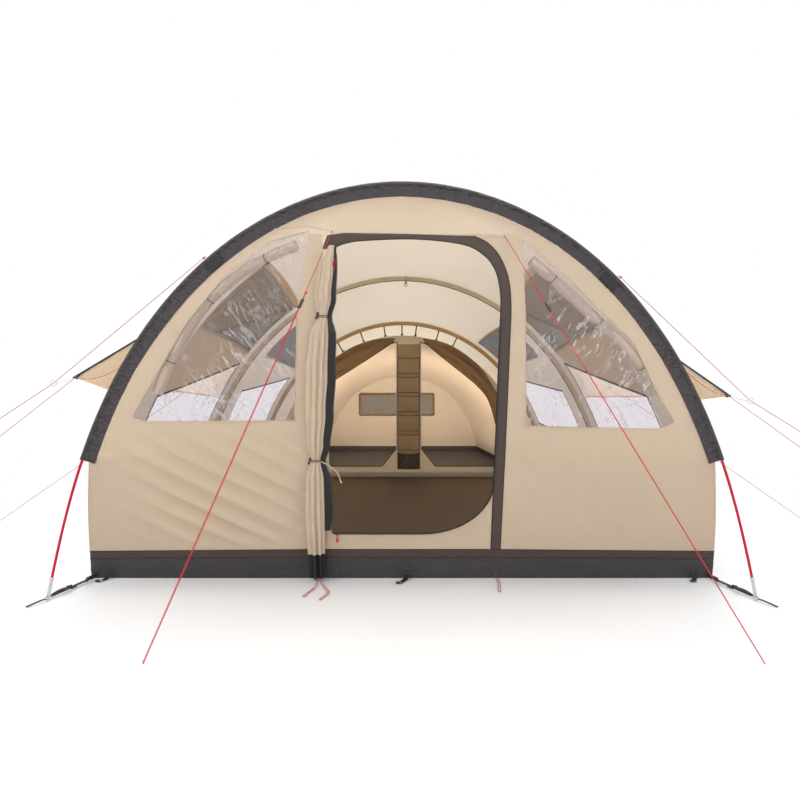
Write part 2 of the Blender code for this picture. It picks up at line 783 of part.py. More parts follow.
# Each row: height, middle in X, half width, half depth, and half width of the zip strip beside it.
DOOR_ROWS = (
    (1.665, -0.335, 0.018, 0.010, 0.005),
    (1.600, -0.352, 0.034, 0.022, 0.008),
    (1.450, -0.372, 0.040, 0.030, 0.011),
    (1.366, -0.378, 0.024, 0.018, 0.010),
    (1.280, -0.395, 0.046, 0.034, 0.017),
    (1.100, -0.412, 0.052, 0.038, 0.019),
    (0.900, -0.424, 0.050, 0.036, 0.018),
    (0.740, -0.434, 0.042, 0.030, 0.016),
    (0.657, -0.438, 0.026, 0.020, 0.012),
    (0.560, -0.442, 0.046, 0.032, 0.017),
    (0.400, -0.446, 0.050, 0.036, 0.020),
    (0.285, -0.447, 0.049, 0.036, 0.014),
    (0.150, -0.447, 0.046, 0.036, None),
    (0.020, -0.447, 0.044, 0.034, None),
)
DOOR_FOLDS = 6
FOLD_DEPTH = 0.20
STRIP_HALF_DEPTH = 0.003


def door_y(row):
    """The middle of the gathered door, so that it lies against the front wall."""
    height, x, _, deep, _ = row
    return front_y(x, height) - deep - GAP


def fluted_ring(row, points=24):
    """A ring with folds; the point at its right side lies on the full width."""
    height, x, wide, deep, _ = row
    ring = []
    for i in range(points):
        angle = 2 * math.pi * i / points
        fold = 1 - FOLD_DEPTH * (1 - math.cos(DOOR_FOLDS * angle)) / 2
        ring.append((x + wide * fold * math.cos(angle), door_y(row) + deep * fold * math.sin(angle), height))
    return ring


def strip_ring(row):
    """A flat ring of the zip strip, beside the gathered door."""
    height, x, wide, _, half = row
    left = x + wide + GAP
    y = door_y(row)
    low, high = y - STRIP_HALF_DEPTH, y + STRIP_HALF_DEPTH
    return [(left, low, height), (left + 2 * half, low, height), (left + 2 * half, high, height), (left, high, height)]


door_roll = lofted("door_roll", [fluted_ring(row) for row in DOOR_ROWS], PANEL_CLOTH)
boolean(door_roll, behind_wall, "DIFFERENCE")
lofted("door_zip_strip", [strip_ring(row) for row in DOOR_ROWS if row[4]], SLEEVE_CLOTH)

# The slider rides on the zip along the sill's straight upper edge.
SLIDER_X = DOOR_LEFT + 0.03
SLIDER_SIZE = (0.016, 0.010, 0.014)
SLIDER_COVER = 0.009  # how far it reaches down over the zip
PULL_LENGTH = 0.050


def block(name, size, matrix, finish=None):
    """A box of a size, set by a matrix."""
    bm = bmesh.new()
    bmesh.ops.create_cube(bm, size=1.0)
    bmesh.ops.scale(bm, vec=size, verts=bm.verts)
    bmesh.ops.transform(bm, matrix=matrix, verts=bm.verts)
    return place(name, mesh_from(bm, name), finish, parts if finish else cutters)


def cylinder(name, radius, length, matrix, finish=None, sides=12):
    """A cylinder along its own Z, set by a matrix."""
    bm = bmesh.new()
    bmesh.ops.create_cone(
        bm, cap_ends=True, segments=sides, radius1=radius, radius2=radius, depth=length, matrix=matrix
    )
    return place(name, mesh_from(bm, name), finish, parts if finish else cutters)


zip_y = front_y(SLIDER_X, DOOR_SILL_Z) + CLOTH / 2
wall_lean = math.atan2(front_y(0, 0.0) - front_y(0, 1.0), 1.0)
lean = Matrix.Rotation(wall_lean, 4, "X")
zip_top = Matrix.Translation((SLIDER_X, zip_y, DOOR_SILL_Z)) @ lean
slider_middle = SLIDER_SIZE[2] / 2 - SLIDER_COVER
slider = block("zip_slider", SLIDER_SIZE, zip_top @ Matrix.Translation((0, 0, slider_middle)), PLASTIC)
slot_size = (0.05, CLOTH + 4 * FIT, SLIDER_COVER * 2 + 2 * FIT)
slider_slot = block("slider_slot", slot_size, zip_top @ Matrix.Translation((0, 0, -SLIDER_COVER)))
pivot(slider, zip_top.translation)
boolean(slider, slider_slot, "DIFFERENCE")
pull_middle = (0, -SLIDER_SIZE[1] / 2 - 0.001, slider_middle - PULL_LENGTH / 2 + 0.004)
zip_pull = block("zip_pull_shape", (0.006, 0.004, PULL_LENGTH), zip_top @ Matrix.Translation(pull_middle))
boolean(slider, zip_pull, "UNION")

# ---------------------------------------------------------------- rear wall, mud band and groundsheet

REAR_CELL = 0.12
rear_rows = [
    [(-x * REAR_CELL, rear_y(x * REAR_CELL, z * REAR_CELL), z * REAR_CELL) for x in range(-11, 12)]
    for z in range(0, 11)
]
rear_edge = [tuple(arch_point(ARCHES[3], u, -SLEEVE_ROOT - GAP)) for u in stations(ARCHES[3], SLEEVE_LOW)]
rear_edge = [point for point in rear_edge if point[1] > CANOPY_LOW + SLEEVE_WIDTH / 4]
rear_outline = [(rear_edge[0][0], CANOPY_LOW), (rear_edge[-1][0], CANOPY_LOW)] + list(reversed(rear_edge))
rear_panel = sheet("rear_panel", rear_rows, CANOPY_CLOTH)
boolean(rear_panel, prism("rear_panel_outline", rear_outline, 4.0, 7.0, "Y"), "INTERSECT")

FOOT_STATIONS = (1.0, ARCH_2_Y, 2.3, ARCH_3_Y, 3.7, 4.5, ARCH_4_Y)
FOOT_FRONT = 12
FOOT_REAR = 10


def footprint(z, thickness=0.0):
    """The tent's outline at a height, anticlockwise from the front left corner, or as much inside it."""
    points = []
    corner_y = edge_y(z)
    half = canopy_half(corner_y, z)
    for i in range(FOOT_FRONT + 1):
        x = half * (2 * i / FOOT_FRONT - 1)
        points.append((x * (half - thickness) / half, front_y(x, z) + thickness, z))
    side = [(canopy_half(y, z) - thickness, y) for y in FOOT_STATIONS]
    points += [(x, y, z) for x, y in side[:-1]]
    half = canopy_half(ARCH_4_Y, z)
    for i in range(FOOT_REAR + 1):
        x = half * (1 - 2 * i / FOOT_REAR)
        points.append((x * (half - thickness) / half, rear_y(x, z) - thickness, z))
    points += [(-x, y, z) for x, y in reversed(side[:-1])]
    return points


def ring_between(name, low, high, finish):
    """A band of cloth round the whole foot between two heights."""
    bm = bmesh.new()
    rings = [footprint(low), footprint(high), footprint(high, CLOTH), footprint(low, CLOTH)]
    add_rows(bm, rings + [rings[0]], closed=True)
    bmesh.ops.remove_doubles(bm, verts=bm.verts, dist=0.00001)
    return place(name, mesh_from(bm, name), finish)


ring_between("mud_band", TRAY_HEIGHT + GAP, BAND_TOP, BAND_CLOTH)


def tray(name, rings, finish):
    """A floor with an upstanding wall, from its lower outer ring up, over and down to its floor."""
    return lofted(name, rings, finish)


groundsheet_rings = [
    footprint(0.0),
    footprint(TRAY_HEIGHT),
    footprint(TRAY_HEIGHT, CLOTH),
    footprint(SHEET_FLOOR, CLOTH),
]
tray("groundsheet", groundsheet_rings, GROUND_CLOTH)

# ---------------------------------------------------------------- vent hoods

HOOD_FOOT = (0.40, 1.40, 0.92)
HOOD_TOP = (0.35, 1.45, 1.715, 1.715 - VENT_TILT)


def hood_root():
    """The line where a hood meets the side wall: up its near cheek, back along its top and down."""
    near, far, foot = HOOD_FOOT
    top_near, top_far, near_z, far_z = HOOD_TOP
    points = []
    for i in range(4):
        points.append((near + (top_near - near) * i / 4, foot + (near_z - foot) * i / 4))
    for i in range(5):
        points.append((top_near + (top_far - top_near) * i / 5, near_z + (far_z - near_z) * i / 5))
    for i in range(5):
        points.append((top_far + (far - top_far) * i / 4, far_z + (foot - far_z) * i / 4))
    return points


canopy_block_rows = bay_rows(ARCH_1_Y + SEAM, ARCH_2_Y - SEAM, first=True, outward=GAP)
canopy_block = solid_behind("canopy_block", canopy_block_rows, lambda co: Vector((co.x * 0.9, co.y, co.z * 0.9)))


def vent_hood(name, side, tip_z):
    """A pointed hood over the front bay's vent, held out by a line at its tip."""
    tip = (side * HOOD_TIP_X, HOOD_TIP_Y, tip_z)
    root = []
    for y, z in hood_root():
        root.append((side * (canopy_half(y, z) - 0.012), y, z))
    bm = bmesh.new()
    foot = [bm.verts.new(point) for point in root]
    peak = bm.verts.new(tip)
    for a, b in zip(foot, foot[1:]):
        bm.faces.new((a, b, peak) if side < 0 else (b, a, peak))
    mesh = bpy.data.meshes.new(name)
    bm.to_mesh(mesh)
    bm.free()
    made = place(name, mesh, CANOPY_CLOTH)
    thicken(made, CLOTH)
    made.modifiers["thickness"].use_even_offset = False
    boolean(made, canopy_block, "DIFFERENCE")
    return Vector(tip)


hood_tip_left = vent_hood("vent_hood_left", -1, HOOD_TIP_LEFT_Z)
hood_tip_right = vent_hood("vent_hood_right", 1, HOOD_TIP_RIGHT_Z)

# ---------------------------------------------------------------- pegging straps at the front feet

RING_RADIUS = 0.015
RING_WIRE = 0.0022


def torus(name, radius, wire, matrix, finish=None):
    """A ring lying flat in its own XY plane, set by a matrix."""
    bm = bmesh.new()
    rings = []
    for i in range(14):
        angle = 2 * math.pi * i / 14
        out = Vector((math.cos(angle), math.sin(angle), 0))
        middle = out * radius
        rings.append(
            [
                middle + out * wire * math.cos(k * math.pi / 3) + Vector((0, 0, wire * math.sin(k * math.pi / 3)))
                for k in range(6)
            ]
        )
    add_rows(bm, rings + [rings[0]], closed=True)
    bmesh.ops.remove_doubles(bm, verts=bm.verts, dist=0.000001)
    bmesh.ops.transform(bm, matrix=matrix, verts=bm.verts)
    return place(name, mesh_from(bm, name), finish, parts if finish else cutters)


def facing(centre, direction):
    """A matrix at a point whose own Z runs along a direction, with its X level."""
    z = Vector(direction).normalized()
    x = z.cross(Vector((0, 0, 1)))
    x = x.normalized() if x.length > 1e-6 else Vector((1, 0, 0))
    y = z.cross(x)
    turned = Matrix((x, y, z)).transposed().to_4x4()
    return Matrix.Translation(Vector(centre)) @ turned


def foot_at(arch, z):
    """The half span of a pole's axis at a height near the ground."""
    return arch_point(arch, arch_u(arch, z)).x


def tensioner(side_name, side):
    """The strap from the ring round a front pole's foot back to the tent's corner, and its buckle."""
    ring_x = side * foot_at(ARCHES[0], STRAP_Z)
    corner_y = edge_y(STRAP_Z + STRAP_THICK / 2) - FIT
    corner_x = side * (canopy_half(corner_y, STRAP_Z) - STRAP_WIDTH)
    start = Vector((ring_x, RING_RADIUS - RING_WIRE, STRAP_Z))
    end = Vector((corner_x, corner_y, STRAP_Z))
    run = end - start
    frame = facing((start + end) / 2, run)
    strap = block(f"tensioner_strap_{side_name}", (STRAP_WIDTH, STRAP_THICK, run.length), frame, WEBBING)
    end_cut = prism(f"strap_end_{side_name}", [(-3, -0.1), (3, -0.1), (3, 0.2), (-3, 0.2)], corner_y, 0.5, "Y")
    boolean(strap, end_cut, "DIFFERENCE")
    ring = torus(f"foot_ring_{side_name}", RING_RADIUS, RING_WIRE, Matrix.Translation((ring_x, 0, STRAP_Z)))
    boolean(strap, ring, "UNION")
    at = start + run * 0.45
    buckle_size = (STRAP_WIDTH + 0.010, STRAP_THICK + 0.007, BUCKLE_LENGTH)
    buckle = block(f"strap_buckle_{side_name}", buckle_size, facing(at, run), PLASTIC)
    pivot(buckle, at)
    slot_size = (STRAP_WIDTH + 2 * FIT, STRAP_THICK + 2 * FIT, BUCKLE_LENGTH * 2)
    slot = block(f"buckle_slot_{side_name}", slot_size, facing(at, run))
    boolean(buckle, slot, "DIFFERENCE")


for side_name, side in SIDES:
    tensioner(side_name, side)

# ---------------------------------------------------------------- inner tent

INNER_LOW = INNER_TRAY + GAP
INNER_COLUMNS = 9


def inner_row(y, lower, outward=-INNER_DROP, columns=INNER_COLUMNS):
    """A row of points over the inner tent."""
    line = []
    for column in range(-columns, columns + 1):
        point = canopy_point(column / columns * canopy_u(y, lower, outward), y, outward)
        line.append((point.x, y, point.y))
    return line


def inner_canopy():
    """The inner tent's roof, sides and rear wall."""
    places = [INNER_FRONT_Y + (INNER_REAR_Y - INNER_FRONT_Y) * i / 4 for i in range(5)]
    outer = [inner_row(y, INNER_LOW) for y in places]
    places[-1] -= CLOTH
    inner = [inner_row(y, INNER_LOW, -INNER_DROP - CLOTH) for y in places]
    return shell("inner_canopy", outer, inner, INNER_CLOTH, closed_end=True)


MESH_WINDOW = [(-0.60, 0.50), (0.45, 0.50), (0.45, 0.80), (-0.60, 0.80)]
inner_shell = inner_canopy()
rear_hole = prism("inner_window_hole", MESH_WINDOW, INNER_REAR_Y - 0.1, INNER_REAR_Y + 0.1, "Y")
boolean(inner_shell, rear_hole, "DIFFERENCE")
prism("inner_mesh_window", inset(MESH_WINDOW, GAP), INNER_REAR_Y - CLOTH, INNER_REAR_Y, "Y", NETTING)


def inner_foot(z, thickness=0.0):
    """The inner tent's outline at a height."""
    count = 4
    places = [INNER_FRONT_Y + (INNER_REAR_Y - INNER_FRONT_Y) * i / count for i in range(count + 1)]
    right = []
    for i, y in enumerate(places):
        inner_y = y + thickness if i == 0 else (y - thickness if i == count else y)
        right.append((canopy_half(y, z, -INNER_DROP) - thickness, inner_y, z))
    return right + [(-x, y, z) for x, y, z in reversed(right)]


INNER_FLOOR_Z = SHEET_FLOOR + GAP
inner_floor_rings = [
    inner_foot(INNER_FLOOR_Z),
    inner_foot(INNER_TRAY),
    inner_foot(INNER_TRAY, CLOTH),
    inner_foot(INNER_FLOOR_Z + CLOTH, CLOTH),
]
tray("inner_floor", inner_floor_rings, GROUND_CLOTH)

INNER_WALL_BACK = INNER_FRONT_Y - GAP
INNER_WALL_FRONT = INNER_WALL_BACK - CLOTH
DOORWAY_RIM = 0.06
DOORWAY_LOW = 0.12


def doorway(side):
    """One doorway of the inner tent beside the middle column, anticlockwise."""
    edge = COLUMN_X[1] if side > 0 else COLUMN_X[0]
    points = []
    for i in range(9):
        u = 0.20 + 0.66 * i / 8
        point = canopy_point(u, INNER_FRONT_Y, -INNER_DROP - DOORWAY_RIM)
        if point.x > abs(edge) + 0.02:
            points.append((side * point.x, point.y))
    top = canopy_point(0.0, INNER_FRONT_Y, -INNER_DROP - DOORWAY_RIM).y - 0.01
    low = [(side * (points[-1][0] * side - 0.05), DOORWAY_LOW), (edge + side * 0.16, DOORWAY_LOW)]
    outline = [(edge, top)] + points + low + [(edge, DOORWAY_LOW + 0.2)]
    return list(reversed(outline)) if side > 0 else outline


front_outline = [(x, z) for x, _, z in inner_row(INNER_FRONT_Y, INNER_LOW)]
inner_wall = prism("inner_front_wall", front_outline, INNER_WALL_FRONT, INNER_WALL_BACK, "Y", INNER_CLOTH)
for side_name, side in SIDES:
    hole = prism(f"doorway_{side_name}", doorway(side), INNER_WALL_FRONT - 0.1, INNER_WALL_BACK + 0.1, "Y")
    boolean(inner_wall, hole, "DIFFERENCE")

POCKET_LOW, POCKET_TOP = 0.09, 1.29


def organiser_profile():
    """The organiser seen from its side: a flat back, and pockets that stand open at their tops."""
    back = INNER_WALL_FRONT - GAP
    skin = CLOTH * 1.5
    step = (POCKET_TOP - POCKET_LOW) / POCKETS
    points = [(back, POCKET_LOW), (back, COLUMN_TOP), (back - skin, COLUMN_TOP)]
    for i in reversed(range(POCKETS)):
        z = POCKET_LOW + step * i
        points += [(back - skin, z + step * 0.98), (back - POCKET_DEPTH, z + step * 0.96), (back - skin * 1.5, z)]
    return points


prism("organiser", organiser_profile(), COLUMN_X[0] + 0.004, COLUMN_X[1] - 0.004, "X", INNER_BROWN)

FLAP_THICK = 0.018
INNER_FLAP_LEFT = [
    (-0.76, 1.02),
    (-0.66, 1.05),
    (-0.36, 1.24),
    (-0.09, 1.42),
    (-0.07, 1.465),
    (-0.30, 1.445),
    (-0.52, 1.37),
    (-0.70, 1.25),
    (-0.77, 1.14),
]
INNER_FLAP_RIGHT = [
    (0.215, 1.46),
    (0.24, 1.41),
    (0.50, 1.25),
    (0.74, 1.06),
    (0.88, 0.84),
    (0.96, 0.58),
    (1.02, 0.28),
    (1.07, 0.28),
    (1.05, 0.60),
    (1.00, 0.82),
    (0.92, 1.00),
    (0.78, 1.20),
    (0.58, 1.35),
    (0.40, 1.43),
]
for side_name, outline in (("left", INNER_FLAP_LEFT), ("right", INNER_FLAP_RIGHT)):
    back = INNER_WALL_FRONT - GAP
    prism(f"inner_door_{side_name}", outline, back - FLAP_THICK, back, "Y", INNER_BROWN)

# ---------------------------------------------------------------- lamp hook under the second arch

HOOK_X = 0.03
HOOK_EYE = 0.005
HOOK_RING = 0.013
HOOK_HOLE = 0.009
HOOK_DROP = 0.026


def circle(x, z, radius, count, first=0.0, turn=2 * math.pi, closed=True):
    """Points of a circle or an arc in X and Z."""
    steps = count if closed else count - 1
    return [
        (x + radius * math.cos(first + turn * i / steps), z + radius * math.sin(first + turn * i / steps))
        for i in range(count)
    ]




def fin_height(arch, end_z, x):
    """The height of a sleeve band's inner edge near the ridge, on the straight run that passes x."""
    places = stations(arch, end_z)
    middle = len(places) // 2
    a, b = (arch_point(arch, places[middle + k], -SLEEVE_ROOT) for k in (0, 1))
    return a.y + (b.y - a.y) * (x - a.x) / (b.x - a.x)


second_fin_z = fin_height(ARCHES[1], SLEEVE_LOW, HOOK_X)
hook_axis_z = second_fin_z - HOOK_EYE - GAP
hook_outline = circle(HOOK_X, hook_axis_z, HOOK_EYE, 7, 0.0, math.pi, closed=False)
ring_z = hook_axis_z - HOOK_DROP
hook_outline += circle(HOOK_X, ring_z, HOOK_RING, 11, math.pi * 0.68, math.pi * 1.64, closed=False)
hook = prism("lamp_hook", hook_outline, ARCH_2_Y - 0.002, ARCH_2_Y + 0.002, "Y", PLASTIC)
pivot(hook, (HOOK_X, ARCH_2_Y, hook_axis_z))
hook_hole = prism("lamp_hook_hole", circle(HOOK_X, ring_z, HOOK_HOLE, 10), ARCH_2_Y - 0.1, ARCH_2_Y + 0.1, "Y")
boolean(hook, hook_hole, "DIFFERENCE")

# ---------------------------------------------------------------- guy lines and their runners

FRONT_PEG_LEFT = (-0.98, -0.56)
FRONT_PEG_RIGHT = (1.37, -0.56)
RUNNER_SHARE = 0.20
LOOP_RISE = 0.006  # a guy's loop is sewn on this far above the brow's edge
LOOP_OUT = 0.010
LOOP_LEAN = 0.65 * CORD_RADIUS  # the brow slopes this much across the end of a cord
RUNNER_SIZE = (0.026, 0.010)
KNOT_OVER_RUNNER = 0.055
SIDE_RUNNER_SIZE = (0.014, 0.012)


def runner(name, centre, direction, size, offsets):
    """A sliding runner with a hole for each strand."""
    matrix = facing(centre, direction)
    made = block(name, (*size, RUNNER_LENGTH), matrix, PLASTIC)
    pivot(made, centre)
    for i, offset in enumerate(offsets):
        bore_radius = (CORD_RADIUS + FIT) / math.cos(math.pi / 10)
        at = matrix @ Matrix.Translation((offset, 0, 0))
        boolean(made, cylinder(f"{name}_bore_{i}", bore_radius, RUNNER_LENGTH * 2, at, sides=10), "DIFFERENCE")


def front_guy(side_name, brow, peg):
    """A front guy: down to the peg, round it and back up through the runner to its knot."""
    x, z = brow[0], brow[1] + LOOP_RISE
    root = Vector((x, on_front(x, z) - GAP - LOOP_LEAN, z))
    start = root - Vector((0, LOOP_OUT, 0))
    turn_radius = CORD_SPREAD / 2
    end = Vector((*peg, 0.0))
    run = (end - start).normalized()
    end.z = CORD_RADIUS + GAP - turn_radius * run.z
    run = (end - start).normalized()
    long = (end - start).length
    across = run.cross(Vector((0, 0, 1))).normalized() * (-1 if x < 0 else 1)
    shares = (0, RUNNER_SHARE * 0.5, RUNNER_SHARE, 0.4, 0.6, 0.8)
    points = [root] + [start + run * long * share for share in shares]
    for i in range(7):
        angle = math.pi * i / 6
        out = across * (turn_radius - turn_radius * math.cos(angle)) + run * turn_radius * math.sin(angle)
        points.append(end + out)
    tail = (long * RUNNER_SHARE - KNOT_OVER_RUNNER) / long
    back = (0.8, 0.6, 0.4, RUNNER_SHARE, tail)
    points += [start + across * CORD_SPREAD + run * long * share for share in back]
    tube(f"front_guy_{side_name}", points, CORD_RADIUS, CORD_RED)
    middle = start + across * turn_radius + run * long * RUNNER_SHARE
    runner(f"front_runner_{side_name}", middle, run, RUNNER_SIZE, (-turn_radius, turn_radius))


front_guy("left", BROW_LEFT, FRONT_PEG_LEFT)
front_guy("right", BROW_RIGHT, FRONT_PEG_RIGHT)

SIDE_GUY_Z = (1.655, 1.563)
SIDE_RING = (1.88, 0.30)
SIDE_RING_Z = (1.045, 0.95)
SIDE_PEG = (2.90, -0.60)
SIDE_RUNNER_SHARE = 0.20
HOOD_PEG = (2.90, -0.10)
SECOND_GUY_Z = 1.30
SECOND_PEG = (2.85, 1.00)
END_Z = CORD_RADIUS + GAP


def on_sleeve(arch, end_z, height):
    """Just off a sleeve's outer edge at a height on the right side, and the place straight out from it."""
    places = [u for u in stations(arch, end_z) if u > -1e-6]
    near, far = ([arch_point(arch, u, SLEEVE_LOBE + out) for u in places] for out in (GAP, LOOP_OUT))
    i = max(k for k, point in enumerate(near[:-1]) if point.y >= height)
    share = (near[i].y - height) / (near[i].y - near[i + 1].y)
    return near[i].lerp(near[i + 1], share), far[i].lerp(far[i + 1], share)


def side_lines(index, side_name, side, hood_tip):
    """The three lines of one side: from the front sleeve, from the hood's tip and from the second arch."""
    at, out = on_sleeve(ARCHES[0], SLEEVE_END_Z, SIDE_GUY_Z[index])
    root = Vector((side * at.x, ARCH_1_Y, at.y))
    start = Vector((side * out.x, ARCH_1_Y, out.y))
    ring = Vector((side * SIDE_RING[0], SIDE_RING[1], SIDE_RING_Z[index]))
    peg = Vector((side * SIDE_PEG[0], SIDE_PEG[1], END_Z))
    points = [root, start, start.lerp(ring, 0.5), ring, ring.lerp(peg, 0.5), peg]
    tube(f"side_guy_{side_name}", points, CORD_RADIUS, CORD_RED)
    middle = ring.lerp(peg, SIDE_RUNNER_SHARE)
    runner(f"side_runner_{side_name}", middle, peg - ring, SIDE_RUNNER_SIZE, (0.0,))

    peg = Vector((side * HOOD_PEG[0], HOOD_PEG[1], END_Z))
    start = hood_tip + (peg - hood_tip).normalized() * GAP
    tube(f"hood_guy_{side_name}", [start, start.lerp(peg, 0.5), peg], CORD_RADIUS, CORD_RED)

    at, out = on_sleeve(ARCHES[1], SLEEVE_LOW, SECOND_GUY_Z)
    root = Vector((side * at.x, ARCH_2_Y, at.y))
    start = Vector((side * out.x, ARCH_2_Y, out.y))
    peg = Vector((side * SECOND_PEG[0], SECOND_PEG[1], END_Z))
    tube(f"second_guy_{side_name}", [root, start, start.lerp(peg, 0.5), peg], CORD_RADIUS, CORD_RED)


side_lines(0, "left", -1, hood_tip_left)
side_lines(1, "right", 1, hood_tip_right)
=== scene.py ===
import bpy
import bmesh
import math
from mathutils import Matrix, Vector, noise


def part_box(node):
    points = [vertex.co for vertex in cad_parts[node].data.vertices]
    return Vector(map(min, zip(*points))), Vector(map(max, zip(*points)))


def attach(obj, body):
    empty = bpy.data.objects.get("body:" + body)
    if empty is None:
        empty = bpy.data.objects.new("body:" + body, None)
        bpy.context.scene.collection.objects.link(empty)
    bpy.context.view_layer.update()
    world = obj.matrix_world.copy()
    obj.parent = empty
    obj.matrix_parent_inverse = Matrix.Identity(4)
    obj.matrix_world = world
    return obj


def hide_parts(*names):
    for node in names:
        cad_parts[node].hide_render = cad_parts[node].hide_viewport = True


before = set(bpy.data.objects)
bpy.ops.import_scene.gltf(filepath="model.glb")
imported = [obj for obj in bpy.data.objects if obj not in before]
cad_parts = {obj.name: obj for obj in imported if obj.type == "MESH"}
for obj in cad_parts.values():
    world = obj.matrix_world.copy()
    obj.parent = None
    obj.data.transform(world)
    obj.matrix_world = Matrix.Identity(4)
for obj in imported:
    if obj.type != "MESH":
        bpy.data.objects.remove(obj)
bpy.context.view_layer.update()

# ---------------------------------------------------------------- dimensions, in metres

TENT_Y = -2.7353  # the front arch's plane; y below is measured from it
ARCHES = ((0.0, 1.715, 2.0155), (1.60, 1.70, 1.885), (2.95, 1.571, 1.66), (5.25, 1.20, 1.15))
ARCH_TURN, ARCH_EASE = 1.377, 1.68
CLOTH = 0.003
POLE_RADIUS = 0.00625
LOBE = 0.0115
FIN = 0.004
SLEEVE_WIDTH = 0.075
SLEEVE_ROOT = SLEEVE_WIDTH - LOBE
SLEEVE_END_Z = 0.68
SLEEVE_LOW = 0.178
CANOPY_DROP, CANOPY_SAG = 0.030, 0.030
TRAY_HEIGHT, BAND_TOP = 0.120, 0.166
FRONT_TOE, BROW_REACH, REAR_TOE = 0.28, 0.12, 0.35
BROW_LEFT, BROW_RIGHT = (-0.32, 1.75), (0.475, 1.73)
DOOR_LEFT, DOOR_RIGHT, DOOR_FLAP = -0.37, 0.47, 0.05
DOOR_SILL_Z, DOOR_CORNER_X, DOOR_CORNER_Z = 0.256, 0.11, 0.53
INNER_DROP, INNER_FRONT_Y, INNER_REAR_Y, INNER_TRAY = 0.12, 3.02, 5.00, 0.060
COLUMN_X, COLUMN_LOW, COLUMN_TOP, POCKETS = (-0.05, 0.19), 0.09, 1.40, 6
CORD_RADIUS = 0.0015
SIDES = (("left", -1), ("right", 1))


def at(x, y, z):
    return Vector((x, y + TENT_Y, z))


def rough(x, y=0.0, z=0.0, seed=0.0):
    """Smooth noise from -1 to 1 that repeats nowhere on the tent."""
    return noise.noise(Vector((x + seed * 7.31, y - seed * 3.17, z + seed * 1.93)))


def ease(t):
    t = min(max(t, 0.0), 1.0)
    return t * t * (3 - 2 * t)


# ---------------------------------------------------------------- camera, light and stage

camera = bpy.data.objects.new("camera", bpy.data.cameras.new("camera"))
bpy.context.scene.collection.objects.link(camera)
camera.location = (0.0, TENT_Y - 2.58, 1.10)
camera.rotation_euler = (math.pi / 2, 0.0, 0.0)
camera.data.lens = 24.0
camera.data.sensor_width = 36.0
camera.data.shift_x = -0.0025
camera.data.shift_y = -0.034
camera.data.clip_start = 0.02
camera.data.clip_end = 200.0
bpy.context.scene.camera = camera
bpy.context.scene.view_settings.view_transform = "Standard"


def area_light(name, place, aim, size, power, colour=(1.0, 1.0, 1.0)):
    data = bpy.data.lights.new(name, "AREA")
    data.shape = "RECTANGLE"
    data.size, data.size_y = size
    data.energy = power
    data.color = colour
    made = bpy.data.objects.new(name, data)
    bpy.context.scene.collection.objects.link(made)
    made.location = place
    made.rotation_euler = (Vector(aim) - Vector(place)).to_track_quat("-Z", "Y").to_euler()
    return made


area_light("key", (-4.5, -7.5, 6.0), (0, -1.5, 0.8), (5, 4), 265, (1.0, 0.98, 0.96))
area_light("fill", (6.0, -6.5, 4.0), (0, -1.5, 0.8), (5, 4), 130, (0.97, 0.98, 1.0))
area_light("front", (0.0, -9.0, 2.2), (0, 0.5, 0.8), (4, 2), 150)
area_light("sky", (0.0, 1.0, 7.5), (0, 0.5, 0.0), (9, 10), 900)
area_light("back", (0.0, 8.5, 4.0), (0, 0.5, 0.5), (6, 4), 560)
inside = area_light("inside", (0.0, 0.55, 0.62), (0, 2.3, 0.70), (1.7, 0.5), 21, (1.0, 0.80, 0.64))
inside.visible_camera = False

class Graph:
    """A node tree, built up in order."""

    def __init__(self, tree):
        self.tree = tree

    def add(self, kind, inputs=None, **facts):
        node = self.tree.nodes.new(kind)
        for key, value in facts.items():
            setattr(node, key, value)
        for key, value in (inputs or {}).items():
            self.feed(node.inputs[key], value)
        return node

    def feed(self, socket, value):
        if isinstance(value, bpy.types.NodeSocket):
            self.tree.links.new(value, socket)
        else:
            socket.default_value = value

    def maths(self, operation, a, b):
        return self.add("ShaderNodeMath", {0: a, 1: b}, operation=operation).outputs[0]

    def mixed(self, share, a, b):
        """One shader that goes over into another."""
        return self.add("ShaderNodeMixShader", {0: share, 1: a.outputs[0], 2: b.outputs[0]}).outputs[0]

    def white_rays(self):
        """1 for the rays that see the white backdrop: the camera's, mirrored ones and those let through."""
        rays = self.add("ShaderNodeLightPath").outputs
        straight = self.maths("MAXIMUM", rays["Is Camera Ray"], rays["Is Glossy Ray"])
        return self.maths("MAXIMUM", straight, rays["Is Transmission Ray"])


world = bpy.data.worlds.new("studio")
bpy.context.scene.world = world
world.use_nodes = True
world.node_tree.nodes.clear()
studio = Graph(world.node_tree)
soft = studio.add("ShaderNodeBackground", {"Color": (0.93, 0.96, 1.0, 1), "Strength": 0.42})
white = studio.add("ShaderNodeBackground", {"Color": (1, 1, 1, 1), "Strength": 1.0})
studio.add("ShaderNodeOutputWorld", {"Surface": studio.mixed(studio.white_rays(), soft, white)})

# ---------------------------------------------------------------- materials


def grey(value):
    return (value,) * 3


